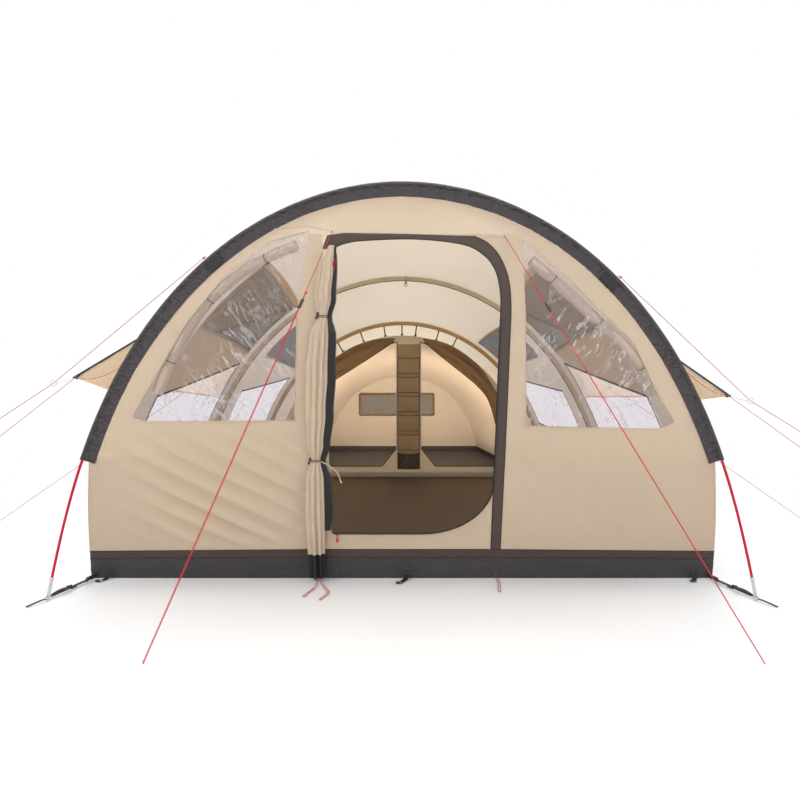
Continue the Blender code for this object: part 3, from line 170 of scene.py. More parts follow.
class Nodes(Graph):
    """A material's node tree round its own shader."""

    def __init__(self, name):
        self.material = bpy.data.materials.new(name)
        self.material.use_nodes = True
        super().__init__(self.material.node_tree)
        self.shader = self.tree.nodes["Principled BSDF"]
        self.place = self.add("ShaderNodeTexCoord").outputs["Object"]

    def set(self, socket, value):
        self.feed(self.shader.inputs[socket], value)

    def show(self, shader):
        self.feed(self.tree.nodes["Material Output"].inputs[0], shader)

    def mapped(self, facts):
        return self.add("ShaderNodeMapping", {"Vector": self.place} | facts).outputs[0]

    def stretched(self, scale):
        return self.mapped({"Scale": scale})

    def noise(self, scale, detail=3.0, place=None, roughness=0.5):
        facts = {"Vector": place or self.place, "Scale": scale, "Detail": detail, "Roughness": roughness}
        return self.add("ShaderNodeTexNoise", facts).outputs[0]

    def wave(self, scale, direction, **facts):
        inputs = {"Vector": self.place, "Scale": scale} | facts
        return self.add("ShaderNodeTexWave", inputs, bands_direction=direction).outputs["Fac"]

    def ramp(self, value, stops):
        node = self.add("ShaderNodeValToRGB", {"Fac": value})
        ends = node.color_ramp.elements
        while len(ends) < len(stops):
            ends.new(0.5)
        for end, (place, level) in zip(ends, stops):
            end.position = place
            end.color = (*grey(level), 1.0)
        return node.outputs[0]

    def blend(self, share, a, b, kind="MIX"):
        node = self.add("ShaderNodeMix", data_type="RGBA", blend_type=kind)
        self.feed(node.inputs["Factor"], share)
        self.feed(node.inputs["A"], (*a, 1.0) if isinstance(a, tuple) else a)
        self.feed(node.inputs["B"], (*b, 1.0) if isinstance(b, tuple) else b)
        return node.outputs["Result"]

    def uneven(self, colour, dark, scale, detail=3.0):
        """A colour with soft patches as dark as a share of it."""
        return self.blend(self.noise(scale, detail), tuple(c * dark for c in colour), colour)

    def sum(self, a, b, scale=1.0):
        return self.add("ShaderNodeMath", {0: b, 1: scale, 2: a}, operation="MULTIPLY_ADD").outputs[0]

    def weave(self, per_metre):
        """Threads both ways, from three crossing sets so that it works on any side."""
        x, y, z = (self.wave(per_metre, axis, Distortion=0.3, Detail=1.0) for axis in "XYZ")
        return self.sum(self.sum(x, y), z)

    def bump(self, height, strength, distance):
        facts = {"Height": height, "Strength": strength, "Distance": distance}
        self.set("Normal", self.add("ShaderNodeBump", facts).outputs[0])


def cloth(
    name, colour, shade=0.85, roughness=0.8, threads=260.0, through=0.0, creases=0.0045, warm=None,
    crinkle=0.0, gloss=0.3,
):
    """Woven cloth: uneven dye, fine threads and soft creases; through is the light that it lets pass."""
    n = Nodes(name)
    fleck = n.ramp(n.noise(190.0, 2.0), [(0.35, 0.93), (0.65, 1.0)])
    tone = n.blend(0.6, n.uneven(colour, shade, 1.7, 4.0), fleck, "MULTIPLY")
    n.set("Base Color", tone)
    n.set("Roughness", n.sum(roughness - 0.06, n.noise(24.0), 0.12))
    n.set("Specular IOR Level", gloss)
    height = n.sum(n.noise(9.0, 5.0, roughness=0.62), n.weave(threads), 0.018)
    height = n.sum(height, n.noise(30.0, 3.0, n.stretched((0.5, 1.0, 2.6))), 0.25)
    if crinkle:
        height = n.sum(height, n.noise(42.0, 3.0, n.stretched((1.0, 1.0, 1.5)), 0.6), crinkle)
        height = n.sum(height, n.noise(17.0, 3.0), crinkle)
    n.bump(height, 0.9, creases)
    if through:
        passed = n.uneven(warm, 0.94, 1.7, 4.0)
        n.show(n.mixed(through, n.shader, n.add("ShaderNodeBsdfTranslucent", {"Color": passed})))
    return in_slot(n)


def in_slot(nodes):
    """Gives the material of the nodes."""
    return nodes.material


def plastic(name, colour, roughness=0.45):
    n = Nodes(name)
    n.set("Base Color", n.uneven(colour, 0.8, 60.0))
    n.set("Roughness", n.sum(roughness - 0.05, n.noise(140.0), 0.1))
    n.bump(n.noise(420.0, 2.0), 0.25, 0.0004)
    return in_slot(n)


def metal(name, colour, roughness=0.3):
    n = Nodes(name)
    n.set("Metallic", 0.85)
    n.set("Base Color", n.uneven(colour, 0.82, 35.0))
    n.set("Roughness", n.sum(roughness - 0.06, n.noise(80.0, 3.0, n.stretched((1, 1, 9))), 0.14))
    n.bump(n.noise(300.0, 2.0, n.stretched((1, 1, 7))), 0.15, 0.0003)
    return in_slot(n)


def braid(name, colour, dark):
    n = Nodes(name)
    strands = n.wave(260.0, "DIAGONAL", Distortion=1.2, Detail=1.0)
    n.set("Base Color", n.blend(strands, dark, colour))
    n.set("Roughness", n.sum(0.6, n.noise(300.0), 0.2))
    n.bump(strands, 0.6, 0.0006)
    return in_slot(n)


def netting(name, colour, holes, clear):
    """Fine mesh: threads with open places between them, with painted shade darkening its soft pleats."""
    n = Nodes(name)
    threads = n.maths("MAXIMUM", n.wave(holes, "Y", Distortion=0.0), n.wave(holes, "Z", Distortion=0.0))
    # Painted shade: the net's colour is darkened along soft noise pleats, where folds would lie in shade.
    painted_pleat_shade = n.noise(4.5, 4.0, n.stretched((1.0, 1.5, 0.7)), 0.62)
    painted_pleat_shade = n.ramp(painted_pleat_shade, [(0.36, 0.62), (0.50, 1.0), (0.64, 0.78)])
    tone = n.blend(1.0, n.uneven(colour, 0.8, 3.0, 4.0), painted_pleat_shade, "MULTIPLY")
    n.set("Base Color", n.blend(threads, tuple(c * 0.7 for c in colour), tone))
    n.set("Roughness", 0.75)
    n.set("Specular IOR Level", 0.12)
    n.bump(n.sum(threads, n.noise(11.0, 4.0), 6.0), 0.5, 0.0012)
    n.show(n.mixed(clear, n.shader, n.add("ShaderNodeBsdfTransparent")))
    return in_slot(n)


def film(name, tint, clear, haze, lean=0.0):
    """Clear sheeting: almost all see-through, with soft folds and sharp creases that catch the light on their bumps,
    and painted highlights along crease lines where less is let through.
    """
    n = Nodes(name)
    n.set("Base Color", n.uneven(tint, 0.94, 5.0))
    n.set("Roughness", n.sum(haze, n.noise(7.0, 4.0), 0.16))
    n.set("Coat Weight", 0.6)
    n.set("Coat Roughness", 0.08)
    turned = n.mapped({"Rotation": (0.0, lean, 0.0)})
    long = n.mapped({"Vector": turned, "Scale": (2.4, 1.0, 0.55)})
    folds = n.noise(3.4, 3.0, long, 0.55)
    sharp = n.noise(15.0, 4.0, long, 0.68)
    n.bump(n.sum(folds, sharp, 0.30), 1.0, 0.006)
    # Painted highlights: less is let through along crease lines, and along fine creases in patches, so the sheet's
    # whitish colour shows there in place of reflections.
    line = n.ramp(folds, [(0.490, 0.0), (0.5, 0.30), (0.506, 0.0)])
    fine = n.ramp(sharp, [(0.55, 0.0), (0.585, 1.0), (0.63, 0.0)])
    patch = n.ramp(n.noise(2.9, 3.0), [(0.45, 0.0), (0.60, 1.0)])
    white = n.maths("MAXIMUM", line, n.maths("MULTIPLY", fine, patch))
    through = n.add("ShaderNodeBsdfTransparent", {"Color": (0.945, 0.927, 0.945, 1)})
    n.show(n.mixed(n.sum(clear, white, -0.50), n.shader, through))
    return in_slot(n)


BEIGE = (0.60, 0.50, 0.385)
canopy_cloth = cloth("canopy_cloth", BEIGE, shade=0.93, through=0.50, warm=(0.97, 0.92, 0.84))
panel_cloth = cloth(
    "panel_cloth", (0.57, 0.445, 0.322), shade=0.93, roughness=0.52, creases=0.007, gloss=0.5,
    through=0.18, warm=(0.95, 0.90, 0.82),
)
sleeve_cloth = cloth(
    "sleeve_cloth", (0.026, 0.0165, 0.0200), shade=0.6, roughness=0.34, creases=0.012,
    crinkle=1.1, gloss=0.55,
)
beige_sleeve = cloth(
    "beige_sleeve", (0.78, 0.65, 0.48), shade=0.94, through=0.55, warm=(0.99, 0.93, 0.82)
)
flap_cloth = cloth("flap_cloth", (0.068, 0.048, 0.038), shade=0.75, roughness=0.6, creases=0.004)
piping_cloth = cloth("piping_cloth", (0.16, 0.085, 0.040), shade=0.8, roughness=0.6)
tape_cloth = cloth(
    "tape_cloth", (0.84, 0.55, 0.26), shade=0.92, roughness=0.6, through=0.5, warm=(1.0, 0.84, 0.56)
)
band_cloth = cloth("band_cloth", (0.074, 0.050, 0.045), shade=0.7, creases=0.008, crinkle=0.4)
ground_cloth = cloth(
    "ground_cloth", (0.045, 0.040, 0.040), shade=0.65, roughness=0.5, creases=0.010, crinkle=0.5,
    gloss=0.4,
)
floor_cloth = cloth("floor_cloth", (0.115, 0.080, 0.052), shade=0.8, roughness=0.6, creases=0.006)
inner_cloth = cloth(
    "inner_cloth", (0.82, 0.72, 0.58), shade=0.96, through=0.68, warm=(0.99, 0.96, 0.91)
)
brown_cloth = cloth(
    "brown_cloth", (0.30, 0.185, 0.095), shade=0.75, roughness=0.7, through=0.3, creases=0.005,
    warm=(0.62, 0.42, 0.24),
)
organiser_cloth = cloth(
    "organiser_cloth", (0.54, 0.375, 0.215), shade=0.8, roughness=0.7, through=0.2, creases=0.005,
    warm=(0.8, 0.6, 0.4),
)
hood_cloth = cloth("hood_cloth", BEIGE, shade=0.93, through=0.72, warm=(0.99, 0.93, 0.83))
hood_under = cloth(
    "hood_under", (0.70, 0.46, 0.24), shade=0.9, through=0.85, warm=(1.0, 0.86, 0.66)
)
link_white = cloth("link_white", (0.72, 0.70, 0.68), threads=600.0, creases=0.001)
edge_black = cloth("edge_black", (0.014, 0.013, 0.014), roughness=0.5, threads=420.0)
webbing = cloth("webbing", (0.016, 0.015, 0.016), roughness=0.6, threads=420.0, creases=0.0012)
vent_net = netting("vent_net", (0.215, 0.172, 0.118), 500.0, 0.13)
window_net = netting("window_net", (0.13, 0.11, 0.085), 500.0, 0.22)
window_films = {
    "left": film("window_film_left", (0.60, 0.585, 0.61), 0.95, 0.10, 0.62),
    "right": film("window_film_right", (0.62, 0.605, 0.63), 0.94, 0.10, -0.62),
}
side_film = film("side_film", (0.72, 0.70, 0.73), 0.88, 0.12)
cord_red = braid("cord_red", (0.60, 0.012, 0.03), (0.36, 0.006, 0.018))
cord_black = braid("cord_black", (0.03, 0.03, 0.032), (0.008, 0.008, 0.009))
cord_beige = braid("cord_beige", (0.72, 0.60, 0.42), (0.45, 0.36, 0.24))
black_plastic = plastic("black_plastic", (0.016, 0.016, 0.018))
red_plastic = plastic("red_plastic", (0.55, 0.012, 0.03), 0.35)
pole_red = metal("pole_red", (0.62, 0.02, 0.035), 0.28)
steel = metal("steel", (0.62, 0.62, 0.64), 0.26)

# The floor keeps the tent's shadow close by and goes over into the white backdrop farther out.
floor_nodes = Nodes("floor")
floor_nodes.set("Base Color", floor_nodes.blend(floor_nodes.noise(0.6), grey(0.85), grey(0.88)))
floor_nodes.set("Roughness", 0.9)
near = floor_nodes.stretched((0.30, 0.21, 1.0))
far = floor_nodes.add("ShaderNodeVectorMath", {0: near}, operation="LENGTH").outputs["Value"]
fade = floor_nodes.ramp(far, [(0.62, 0.0), (0.98, 1.0)])
paper = floor_nodes.add("ShaderNodeEmission", {"Color": (1, 1, 1, 1), "Strength": 1.0})
share = floor_nodes.maths("MULTIPLY", fade, floor_nodes.white_rays())
floor_nodes.show(floor_nodes.mixed(share, floor_nodes.shader, paper))

# ---------------------------------------------------------------- the arches and the two walls as surfaces


def bent_pole(steps=360):
    across, down = [0.0], [0.0]
    for i in range(steps):
        angle = ARCH_TURN * (1 - (1 - (i + 0.5) / steps) ** ARCH_EASE)
        across.append(across[-1] + math.cos(angle))
        down.append(down[-1] + math.sin(angle))
    return [(x / across[-1], 1 - z / down[-1]) for x, z in zip(across, down)]


HALF_POLE = bent_pole()


def arch_point(arch, u, outward=0.0):
    """X and Z on an arch: u is -1 at the left foot, 0 at the top and 1 at the right foot."""
    _, half, height = arch
    last = len(HALF_POLE) - 1
    place = min(abs(u), 1.0) * last
    i = min(int(place), last - 1)
    (x0, z0), (x1, z1) = HALF_POLE[i], HALF_POLE[i + 1]
    part = place - i
    x, z = (x0 + (x1 - x0) * part) * half, (z0 + (z1 - z0) * part) * height
    i = max(1, min(i, last - 1))
    run_x = (HALF_POLE[i + 1][0] - HALF_POLE[i - 1][0]) * half
    run_z = (HALF_POLE[i + 1][1] - HALF_POLE[i - 1][1]) * height
    long = math.hypot(run_x, run_z)
    nx, nz = (0.0, 1.0) if abs(u) < 1e-6 else (-run_z / long, run_x / long)
    side = -1.0 if u < 0 else 1.0
    return Vector((side * (x + nx * outward), z + nz * outward))


def canopy_point(u, y, outward=0.0):
    k = 2 if y >= ARCHES[2][0] else (1 if y >= ARCHES[1][0] else 0)
    before, after = ARCHES[k], ARCHES[k + 1]
    t = min(max((y - before[0]) / (after[0] - before[0]), 0.0), 1.0)
    drop = outward - CANOPY_DROP - CANOPY_SAG * 4 * t * (1 - t)
    return arch_point(before, u, drop) * (1 - t) + arch_point(after, u, drop) * t


def canopy_u(y, z, outward=0.0):
    low, high = 0.0, 1.0
    for _ in range(26):
        middle = (low + high) / 2
        low, high = (middle, high) if canopy_point(middle, y, outward).y > z else (low, middle)
    return (low + high) / 2


def canopy_half(y, z, outward=0.0):
    return canopy_point(canopy_u(y, z, outward), y, outward).x


def edge_y(z):
    return FRONT_TOE * max(0.0, 1 - z / (SLEEVE_END_Z + 0.01))


BROW_Z = (BROW_LEFT[1] + BROW_RIGHT[1]) / 2
half_widths = {}


def front_wide(z):
    key = round(z, 2)
    if key not in half_widths:
        half_widths[key] = canopy_half(0.0, key, -CANOPY_DROP)
    return half_widths[key]


def front_y(x, z):
    """The front wall's outer side, before its creases."""
    if z > BROW_Z:
        top = ARCHES[0][2] - SLEEVE_WIDTH
        middle = -BROW_REACH * max(0.0, 1 - (z - BROW_Z) / (top - BROW_Z))
    else:
        middle = FRONT_TOE - (FRONT_TOE + BROW_REACH) * z / BROW_Z
    wide = front_wide(z)
    flat = min(0.44, 0.6 * wide)
    share = min(1.0, max(0.0, (abs(x) - flat) / max(0.02, wide - flat)))
    return middle + (edge_y(z) - middle) * share


def rear_y(x, z):
    top = ARCHES[3][2] - CANOPY_DROP
    wide = max(0.05, canopy_half(ARCHES[3][0], min(z, top - 0.01)))
    return ARCHES[3][0] + REAR_TOE * max(0.0, 1 - z / top) * max(0.0, 1 - (abs(x) / wide) ** 4)


def arch_u(arch, z):
    low, high = 0.0, 1.0
    for _ in range(30):
        middle = (low + high) / 2
        low, high = (middle, high) if arch_point(arch, middle).y > z else (low, middle)
    return (low + high) / 2


# ---------------------------------------------------------------- making pieces

shown = bpy.context.scene.collection


def evenly(a, b, count):
    """Numbers or places from a to b in count even steps."""
    return [a + (b - a) * i / count for i in range(count + 1)]


def turns(count):
    return [2 * math.pi * i / count for i in range(count)]


def linked(name, data):
    made = bpy.data.objects.new(name, data)
    shown.objects.link(made)
    return made


def take_place(made, nodes, body):
    """Hides the nodes that a piece replaces and hangs it on the body that it rides on."""
    if nodes:
        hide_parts(*nodes)
    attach(made, body)
    return made


def add(name, mesh, material, nodes=(), body="tent", smooth=True):
    made = linked(name, mesh)
    mesh.materials.clear()
    mesh.materials.append(material)
    if smooth:
        mesh.shade_smooth()
        mesh.set_sharp_from_angle(angle=math.radians(40))
    return take_place(made, nodes, body)


def mesh_of(name, bm):
    mesh = bpy.data.meshes.new(name)
    bm.to_mesh(mesh)
    bm.free()
    return mesh


def mesh_rows(name, rows, closed=False, caps=False, looped=False):
    """A mesh through rows of points; closed joins each row's ends, caps fills the first and last, and looped
    joins these two."""
    bm = bmesh.new()
    grid = [[bm.verts.new(point) for point in row] for row in rows]
    for low, high in zip(grid, grid[1:] + (grid[:1] if looped else [])):
        count = len(low)
        for i in range(count if closed else count - 1):
            j = (i + 1) % count
            bm.faces.new((low[i], low[j], high[j], high[i]))
    if caps:
        bm.faces.new(grid[0])
        bm.faces.new(grid[-1])
    if closed:
        bmesh.ops.recalc_face_normals(bm, faces=bm.faces)
    return mesh_of(name, bm)


def prism_mesh(name, outline, low, high, plane="Y"):
    """A closed solid from an outline in X and Z (or Y and Z) between two places on the third axis."""
    bm = bmesh.new()
    put = (lambda a, b, c: at(a, c, b)) if plane == "Y" else (lambda a, b, c: at(c, a, b))
    near, far = ([bm.verts.new(put(a, b, depth)) for a, b in outline] for depth in (low, high))
    count = len(outline)
    for i in range(count):
        j = (i + 1) % count
        bm.faces.new((near[i], near[j], far[j], far[i]))
    bm.faces.new(near)
    bm.faces.new(far)
    bmesh.ops.triangulate(bm, faces=[f for f in bm.faces if len(f.verts) > 4])
    bmesh.ops.recalc_face_normals(bm, faces=bm.faces)
    return mesh_of(name, bm)


def thickened(mesh, thickness, cuts=()):
    """The mesh made a closed cloth on its inner side if it has a thickness, then cut: each cut is (mesh,
    "INTERSECT" or "DIFFERENCE")."""
    work = linked("work", mesh)
    if thickness:
        solid = work.modifiers.new("solid", "SOLIDIFY")
        solid.thickness, solid.offset = thickness, -1.0
    tools = []
    for cutter, kind in cuts:
        tools.append(linked("tool", cutter))
        cut = work.modifiers.new("cut", "BOOLEAN")
        cut.object, cut.operation = tools[-1], kind
    made = bpy.data.meshes.new_from_object(work.evaluated_get(bpy.context.evaluated_depsgraph_get()))
    for tool in tools + [work]:
        bpy.data.objects.remove(tool, do_unlink=True)
    return made


def tube(name, points, radius, material, nodes=(), body="tent", cyclic=False, sides=3):
    line = bpy.data.curves.new(name, "CURVE")
    line.dimensions = "3D"
    line.bevel_depth = radius
    line.bevel_resolution = sides
    line.use_fill_caps = True
    run = line.splines.new("POLY")
    run.points.add(len(points) - 1)
    run.use_cyclic_u = cyclic
    for knot, point in zip(run.points, points):
        knot.co = (*point, 1.0)
    line.materials.append(material)
    return take_place(linked(name, line), nodes, body)


def smooth_line(points, per=8):
    """A smooth line through points."""
    pts = [Vector(p) for p in points]
    made = []
    for i in range(len(pts) - 1):
        a, b, c, d = pts[max(i - 1, 0)], pts[i], pts[i + 1], pts[min(i + 2, len(pts) - 1)]
        for k in range(per):
            t = k / per
            bend = (2 * a - 5 * b + 4 * c - d) * t * t + (3 * b - a - 3 * c + d) * t ** 3
            made.append(0.5 * ((2 * b) + (c - a) * t + bend))
    return made + [pts[-1]]


def flat_line(points, per):
    """The smooth line through places in X and Z, laid flat."""
    return smooth_line([Vector((x, z, 0)) for x, z in points], per)


def resample(points, spacing):
    """Points set evenly along a line."""
    pts = [Vector(p) for p in points]
    lengths = [0.0]
    for a, b in zip(pts, pts[1:]):
        lengths.append(lengths[-1] + (b - a).length)
    count = max(2, round(lengths[-1] / spacing))
    made, k = [], 0
    for i in range(count + 1):
        want = lengths[-1] * i / count
        while k < len(pts) - 2 and lengths[k + 1] < want:
            k += 1
        step = lengths[k + 1] - lengths[k]
        made.append(pts[k].lerp(pts[k + 1], (want - lengths[k]) / step if step > 1e-9 else 0.0))
    return made


def run_at(line, k):
    """The way that a line goes at its point k."""
    return (line[min(k + 1, len(line) - 1)] - line[max(k - 1, 0)]).normalized()


STRAP_SECTION = ((-1, -0.6), (-0.9, -1), (0.9, -1), (1, -0.6), (1, 0.6), (0.9, 1), (-0.9, 1), (-1, 0.6))


def strip(name, points, width, thick, facing, material, nodes=(), wave=0.0):
    """A flat strap along points; facing is where its broad side looks, or one such for each point."""
    rows = []
    for k, point in enumerate(points):
        run = run_at(points, k)
        look = Vector(facing[k] if isinstance(facing, list) else facing)
        across = run.cross(look).normalized()
        look = across.cross(run).normalized()
        middle = point + look * wave * rough(k * 0.7, seed=3)
        rows.append([middle + across * (s * width / 2) + look * (t * thick / 2) for s, t in STRAP_SECTION])
    return add(name, mesh_rows(name, rows, closed=True, caps=True), material, nodes)


def lathe(name, profile, matrix, material, sides=24):
    """A turned piece: profile is (radius, height) from end to end, about its own Z."""
    rows = [[matrix @ Vector((r * math.cos(a), r * math.sin(a), z)) for a in turns(sides)] for r, z in profile]
    return add(name, mesh_rows(name, rows, closed=True, caps=True), material)


def rounded_box(name, size, matrix, material, nodes=(), body="tent", bevel=0.3):
    bm = bmesh.new()
    bmesh.ops.create_cube(bm, size=1.0)
    bmesh.ops.scale(bm, vec=size, verts=bm.verts)
    offset = min(size) * bevel
    bmesh.ops.bevel(bm, geom=list(bm.edges), offset=offset, segments=2, affect="EDGES", profile=0.6)
    bmesh.ops.transform(bm, matrix=matrix, verts=bm.verts)
    return add(name, mesh_of(name, bm), material, nodes, body)


def facing(centre, direction):
    z = Vector(direction).normalized()
    x = z.cross(Vector((0, 0, 1)))
    x = x.normalized() if x.length > 1e-6 else Vector((1, 0, 0))
    return Matrix.Translation(Vector(centre)) @ Matrix((x, z.cross(x), z)).transposed().to_4x4()


def ring_points(centre, radius, first, second, count=28):
    first, second = Vector(first).normalized(), Vector(second).normalized()
    return [centre + first * radius * math.cos(a) + second * radius * math.sin(a) for a in turns(count)]


def declare(piece, width, length, closed=True):
    """Works out a cloth's cut length from its width and real area, and gives back the piece unchanged; the length is
    not kept.
    """
    area = sum(p.area for p in piece.data.polygons) / (2 if closed else 1)
    length = min(max(length, area / width * 1.001), area / width / 0.32)
    return piece


# ---------------------------------------------------------------- guy lines

RUNNER_LENGTH = 0.045
CORD_SPREAD, RUNNER_SHARE, KNOT_OVER = 0.012, 0.20, 0.055
GAP = 0.0005
END_Z = CORD_RADIUS + GAP
PEG_Y, FRONT_PEGS = -0.56, (-0.98, 1.37)
RING_X, RING_Y = 1.88, 0.30
SIDE_Z, RING_Z = (1.655, 1.563), (1.045, 0.95)
TIP_X, TIP_Y, TIP_Z = 2.13, 0.90, (1.07, 0.95)
SIDE_PEG, HOOD_PEG, SECOND_PEG = (2.90, -0.60), (2.90, -0.10), (2.85, 1.00)
SECOND_Z = 1.30
SIDE_RUNNER_SHARE = 0.20


def line_length(points):
    return sum((b - a).length for a, b in zip(points, points[1:]))


def guy(name, points, nodes=(), material=cord_red):
    piece = tube(name, points, CORD_RADIUS, material, nodes)
    return piece


def knot(name, place, direction, size=0.004, material=cord_red):
    """A round knot of the same cord: three turns drawn tight."""
    turned = facing(place, direction)
    points = []
    for t in evenly(0.0, 1.0, 44):
        angle = 2 * math.pi * 3 * t
        wide = size * (0.72 + 0.28 * math.sin(math.pi * t))
        points.append(turned @ Vector((wide * math.cos(angle), wide * math.sin(angle), size * 2.4 * (t - 0.5))))
    return tube(name, points, CORD_RADIUS * 0.95, material)


def line_runner(name, centre, direction, size, offsets, node):
    """A flat moulded runner with waisted sides and a hole at each strand."""
    turned = facing(centre, direction)
    rows = []
    for t in evenly(0.0, 1.0, 12):
        waist = 1 - 0.22 * math.sin(math.pi * t) ** 2
        end = 1 - 0.16 * (2 * abs(t - 0.5)) ** 8
        row = []
        for c, s in ((math.cos(a), math.sin(a)) for a in turns(24)):
            x = math.copysign(abs(c) ** 0.45, c) * size[0] / 2 * waist * end
            y = math.copysign(abs(s) ** 0.45, s) * size[1] / 2 * end
            row.append(turned @ Vector((x, y, (t - 0.5) * RUNNER_LENGTH)))
        rows.append(row)
    cuts = []
    for offset in offsets:
        bore = [
            [turned @ Vector((offset + 0.0021 * math.cos(a), 0.0021 * math.sin(a), z)) for a in turns(12)]
            for z in (-RUNNER_LENGTH, RUNNER_LENGTH)
        ]
        cuts.append((mesh_rows("bore", bore, closed=True, caps=True), "DIFFERENCE"))
    solid = thickened(mesh_rows(name, rows, closed=True, caps=True), 0.0, cuts)
    return add(name, solid, black_plastic, [node], node)


def front_line(side, brow, peg_x):
    """A front line: sewn to the brow, round its peg and back up to a knot above its runner."""
    node = f"front_guy_{side}"
    root = at(brow[0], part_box(node)[1][1] - TENT_Y, brow[1] + 0.006)
    start = root - Vector((0, 0.010, 0))
    turn = CORD_SPREAD / 2
    end = at(peg_x, PEG_Y, 0.0)
    end.z = END_Z - turn * (end - start).normalized().z
    run = (end - start).normalized()
    long = (end - start).length
    across = run.cross(Vector((0, 0, 1))).normalized() * (-1 if peg_x < 0 else 1)
    points = [root] + [start + run * long * share for share in (0, 0.1, 0.2, 0.4, 0.6, 0.8)]
    for angle in evenly(0.0, math.pi, 12):
        points.append(end + across * (turn - turn * math.cos(angle)) + run * turn * math.sin(angle))
    tail = (long * RUNNER_SHARE - KNOT_OVER) / long
    points += [start + across * CORD_SPREAD + run * long * share for share in (0.8, 0.6, 0.4, RUNNER_SHARE, tail)]
    stop = knot(f"front_knot_{side}", points[-1], run)
    guy(f"front_line_{side}", points, nodes=[node])
    middle = start + across * turn + run * long * RUNNER_SHARE
    line_runner(f"front_line_runner_{side}", middle, run, (0.026, 0.010), (-turn, turn), f"front_runner_{side}")


front_line("left", BROW_LEFT, FRONT_PEGS[0])
front_line("right", BROW_RIGHT, FRONT_PEGS[1])


def on_sleeve(arch, end_z, height):
    """Where a line is sewn to a sleeve at a height, and where it comes free of it."""
    places = evenly(0.0, arch_u(arch, end_z), 13)
    near, far = ([arch_point(arch, u, LOBE + out) for u in places] for out in (GAP, 0.010))
    i = max(k for k, point in enumerate(near[:-1]) if point.y >= height)
    share = (near[i].y - height) / (near[i].y - near[i + 1].y)
    return near[i].lerp(near[i + 1], share), far[i].lerp(far[i + 1], share)


def side_cord(kind, side_name, points, peg):
    """A side line through points to its peg, with a knot just above the ground."""
    run = peg - points[-1]
    points = points[:-1] + evenly(points[-1], peg, 4)
    tie = knot(f"{kind}_end_{side_name}", peg - run.normalized() * 0.02, run)
    guy(f"{kind}_line_{side_name}", points, nodes=[f"{kind}_guy_{side_name}"])


for index, (side_name, side) in enumerate(SIDES):
    root, start = (at(side * p.x, 0, p.y) for p in on_sleeve(ARCHES[0], SLEEVE_END_Z, SIDE_Z[index]))
    ring = at(side * RING_X, RING_Y, RING_Z[index])
    peg = at(side * SIDE_PEG[0], SIDE_PEG[1], END_Z)
    run = ring - start
    tie = knot(f"side_knot_{side_name}", start + run.normalized() * 0.012, run)
    side_cord("side", side_name, [root] + evenly(start, ring, 4), peg)
    place = ring.lerp(peg, SIDE_RUNNER_SHARE)
    line_runner(f"side_line_runner_{side_name}", place, peg - ring, (0.014, 0.012), (0.0,), f"side_runner_{side_name}")
    tip = at(side * TIP_X, TIP_Y, TIP_Z[index])
    peg = at(side * HOOD_PEG[0], HOOD_PEG[1], END_Z)
    side_cord("hood", side_name, [tip + (peg - tip).normalized() * GAP], peg)
    depth = ARCHES[1][0]
    root, start = (at(side * p.x, depth, p.y) for p in on_sleeve(ARCHES[1], SLEEVE_LOW, SECOND_Z))
    side_cord("second", side_name, [root, start], at(side * SECOND_PEG[0], SECOND_PEG[1], END_Z))

# ---------------------------------------------------------------- poles and sleeves


def arch_line(arch, end, count, outward=0.0, y=0.0):
    """A line along an arch, as far down on the left as on the right."""
    places = (arch_point(arch, u, outward) for u in evenly(-end, end, count))
    return [at(p.x, arch[0] + y, p.y) for p in places]


ARCH_NAMES = ("front", "second", "third", "rear")
for name, arch in zip(ARCH_NAMES, ARCHES):
    points = arch_line(arch, 1.0, 160)
    points[0].z = points[-1].z = 0.0
    tube(f"{name}_bent_pole", points, POLE_RADIUS, pole_red, [f"{name}_pole"], sides=4)


SLEEVE_HEM = [(-LOBE * 1.25, FIN * 0.62)] + [(x, FIN / 2) for x in (-0.026, -0.038, -0.050, -SLEEVE_ROOT)]
SLEEVE_SECTION = [(LOBE * math.cos(a), LOBE * math.sin(a)) for a in (math.radians(-150 + 300 * k / 8) for k in range(9))]
SLEEVE_SECTION += SLEEVE_HEM + [(x, -y) for x, y in reversed(SLEEVE_HEM)]


def sleeve(name, arch, end_z, material, node, pucker, count):
    """A hem round the pole with its flat band, puckered where it is sewn to the cloth."""
    end = arch_u(arch, end_z)
    rows = []
    for i in range(count + 1):
        u = end * (2 * i / count - 1)
        along = i / count * 5.2
        row = []
        for x, y in SLEEVE_SECTION:
            depth = min(1.0, max(0.0, (LOBE * 0.6 - x) / 0.03)) * min(1.0, max(0.15, (x + SLEEVE_ROOT) / 0.02))
            fold = rough(along * 19 + x * 150, x * 16, arch[0], 2)
            fold += 0.8 * rough(along * 44 - x * 230, x * 26, arch[0], 5)
            point = arch_point(arch, u, x + (0.0007 * rough(along * 14, 0, arch[0], 8) if x > 0 else 0))
            lift = math.copysign(pucker * depth * fold, y) * (1 if y < 0 else -1)
            row.append(at(point.x, arch[0] + y + lift, point.y))
        rows.append(row)
    return add(name, mesh_rows(name, rows, closed=True, caps=True), material, [node])


sleeve("front_pole_sleeve", ARCHES[0], SLEEVE_END_Z, sleeve_cloth, "front_sleeve", 0.0062, 760)
for name, arch in list(zip(ARCH_NAMES, ARCHES))[1:]:
    sleeve(f"{name}_pole_sleeve", arch, SLEEVE_LOW, beige_sleeve, f"{name}_sleeve", 0.0020, 300)
    end = arch_u(arch, SLEEVE_LOW)
    for where, drop in (("inner", -SLEEVE_ROOT - 0.001), ("outer", -0.020)):
        for face, way in (("front", -1), ("back", 1)):
            line = arch_line(arch, end, 160, drop, way * 0.0042)
            tube(f"{name}_{where}_piping_{face}", line, 0.0022, piping_cloth, sides=1)

# ---------------------------------------------------------------- the canopy's three bays


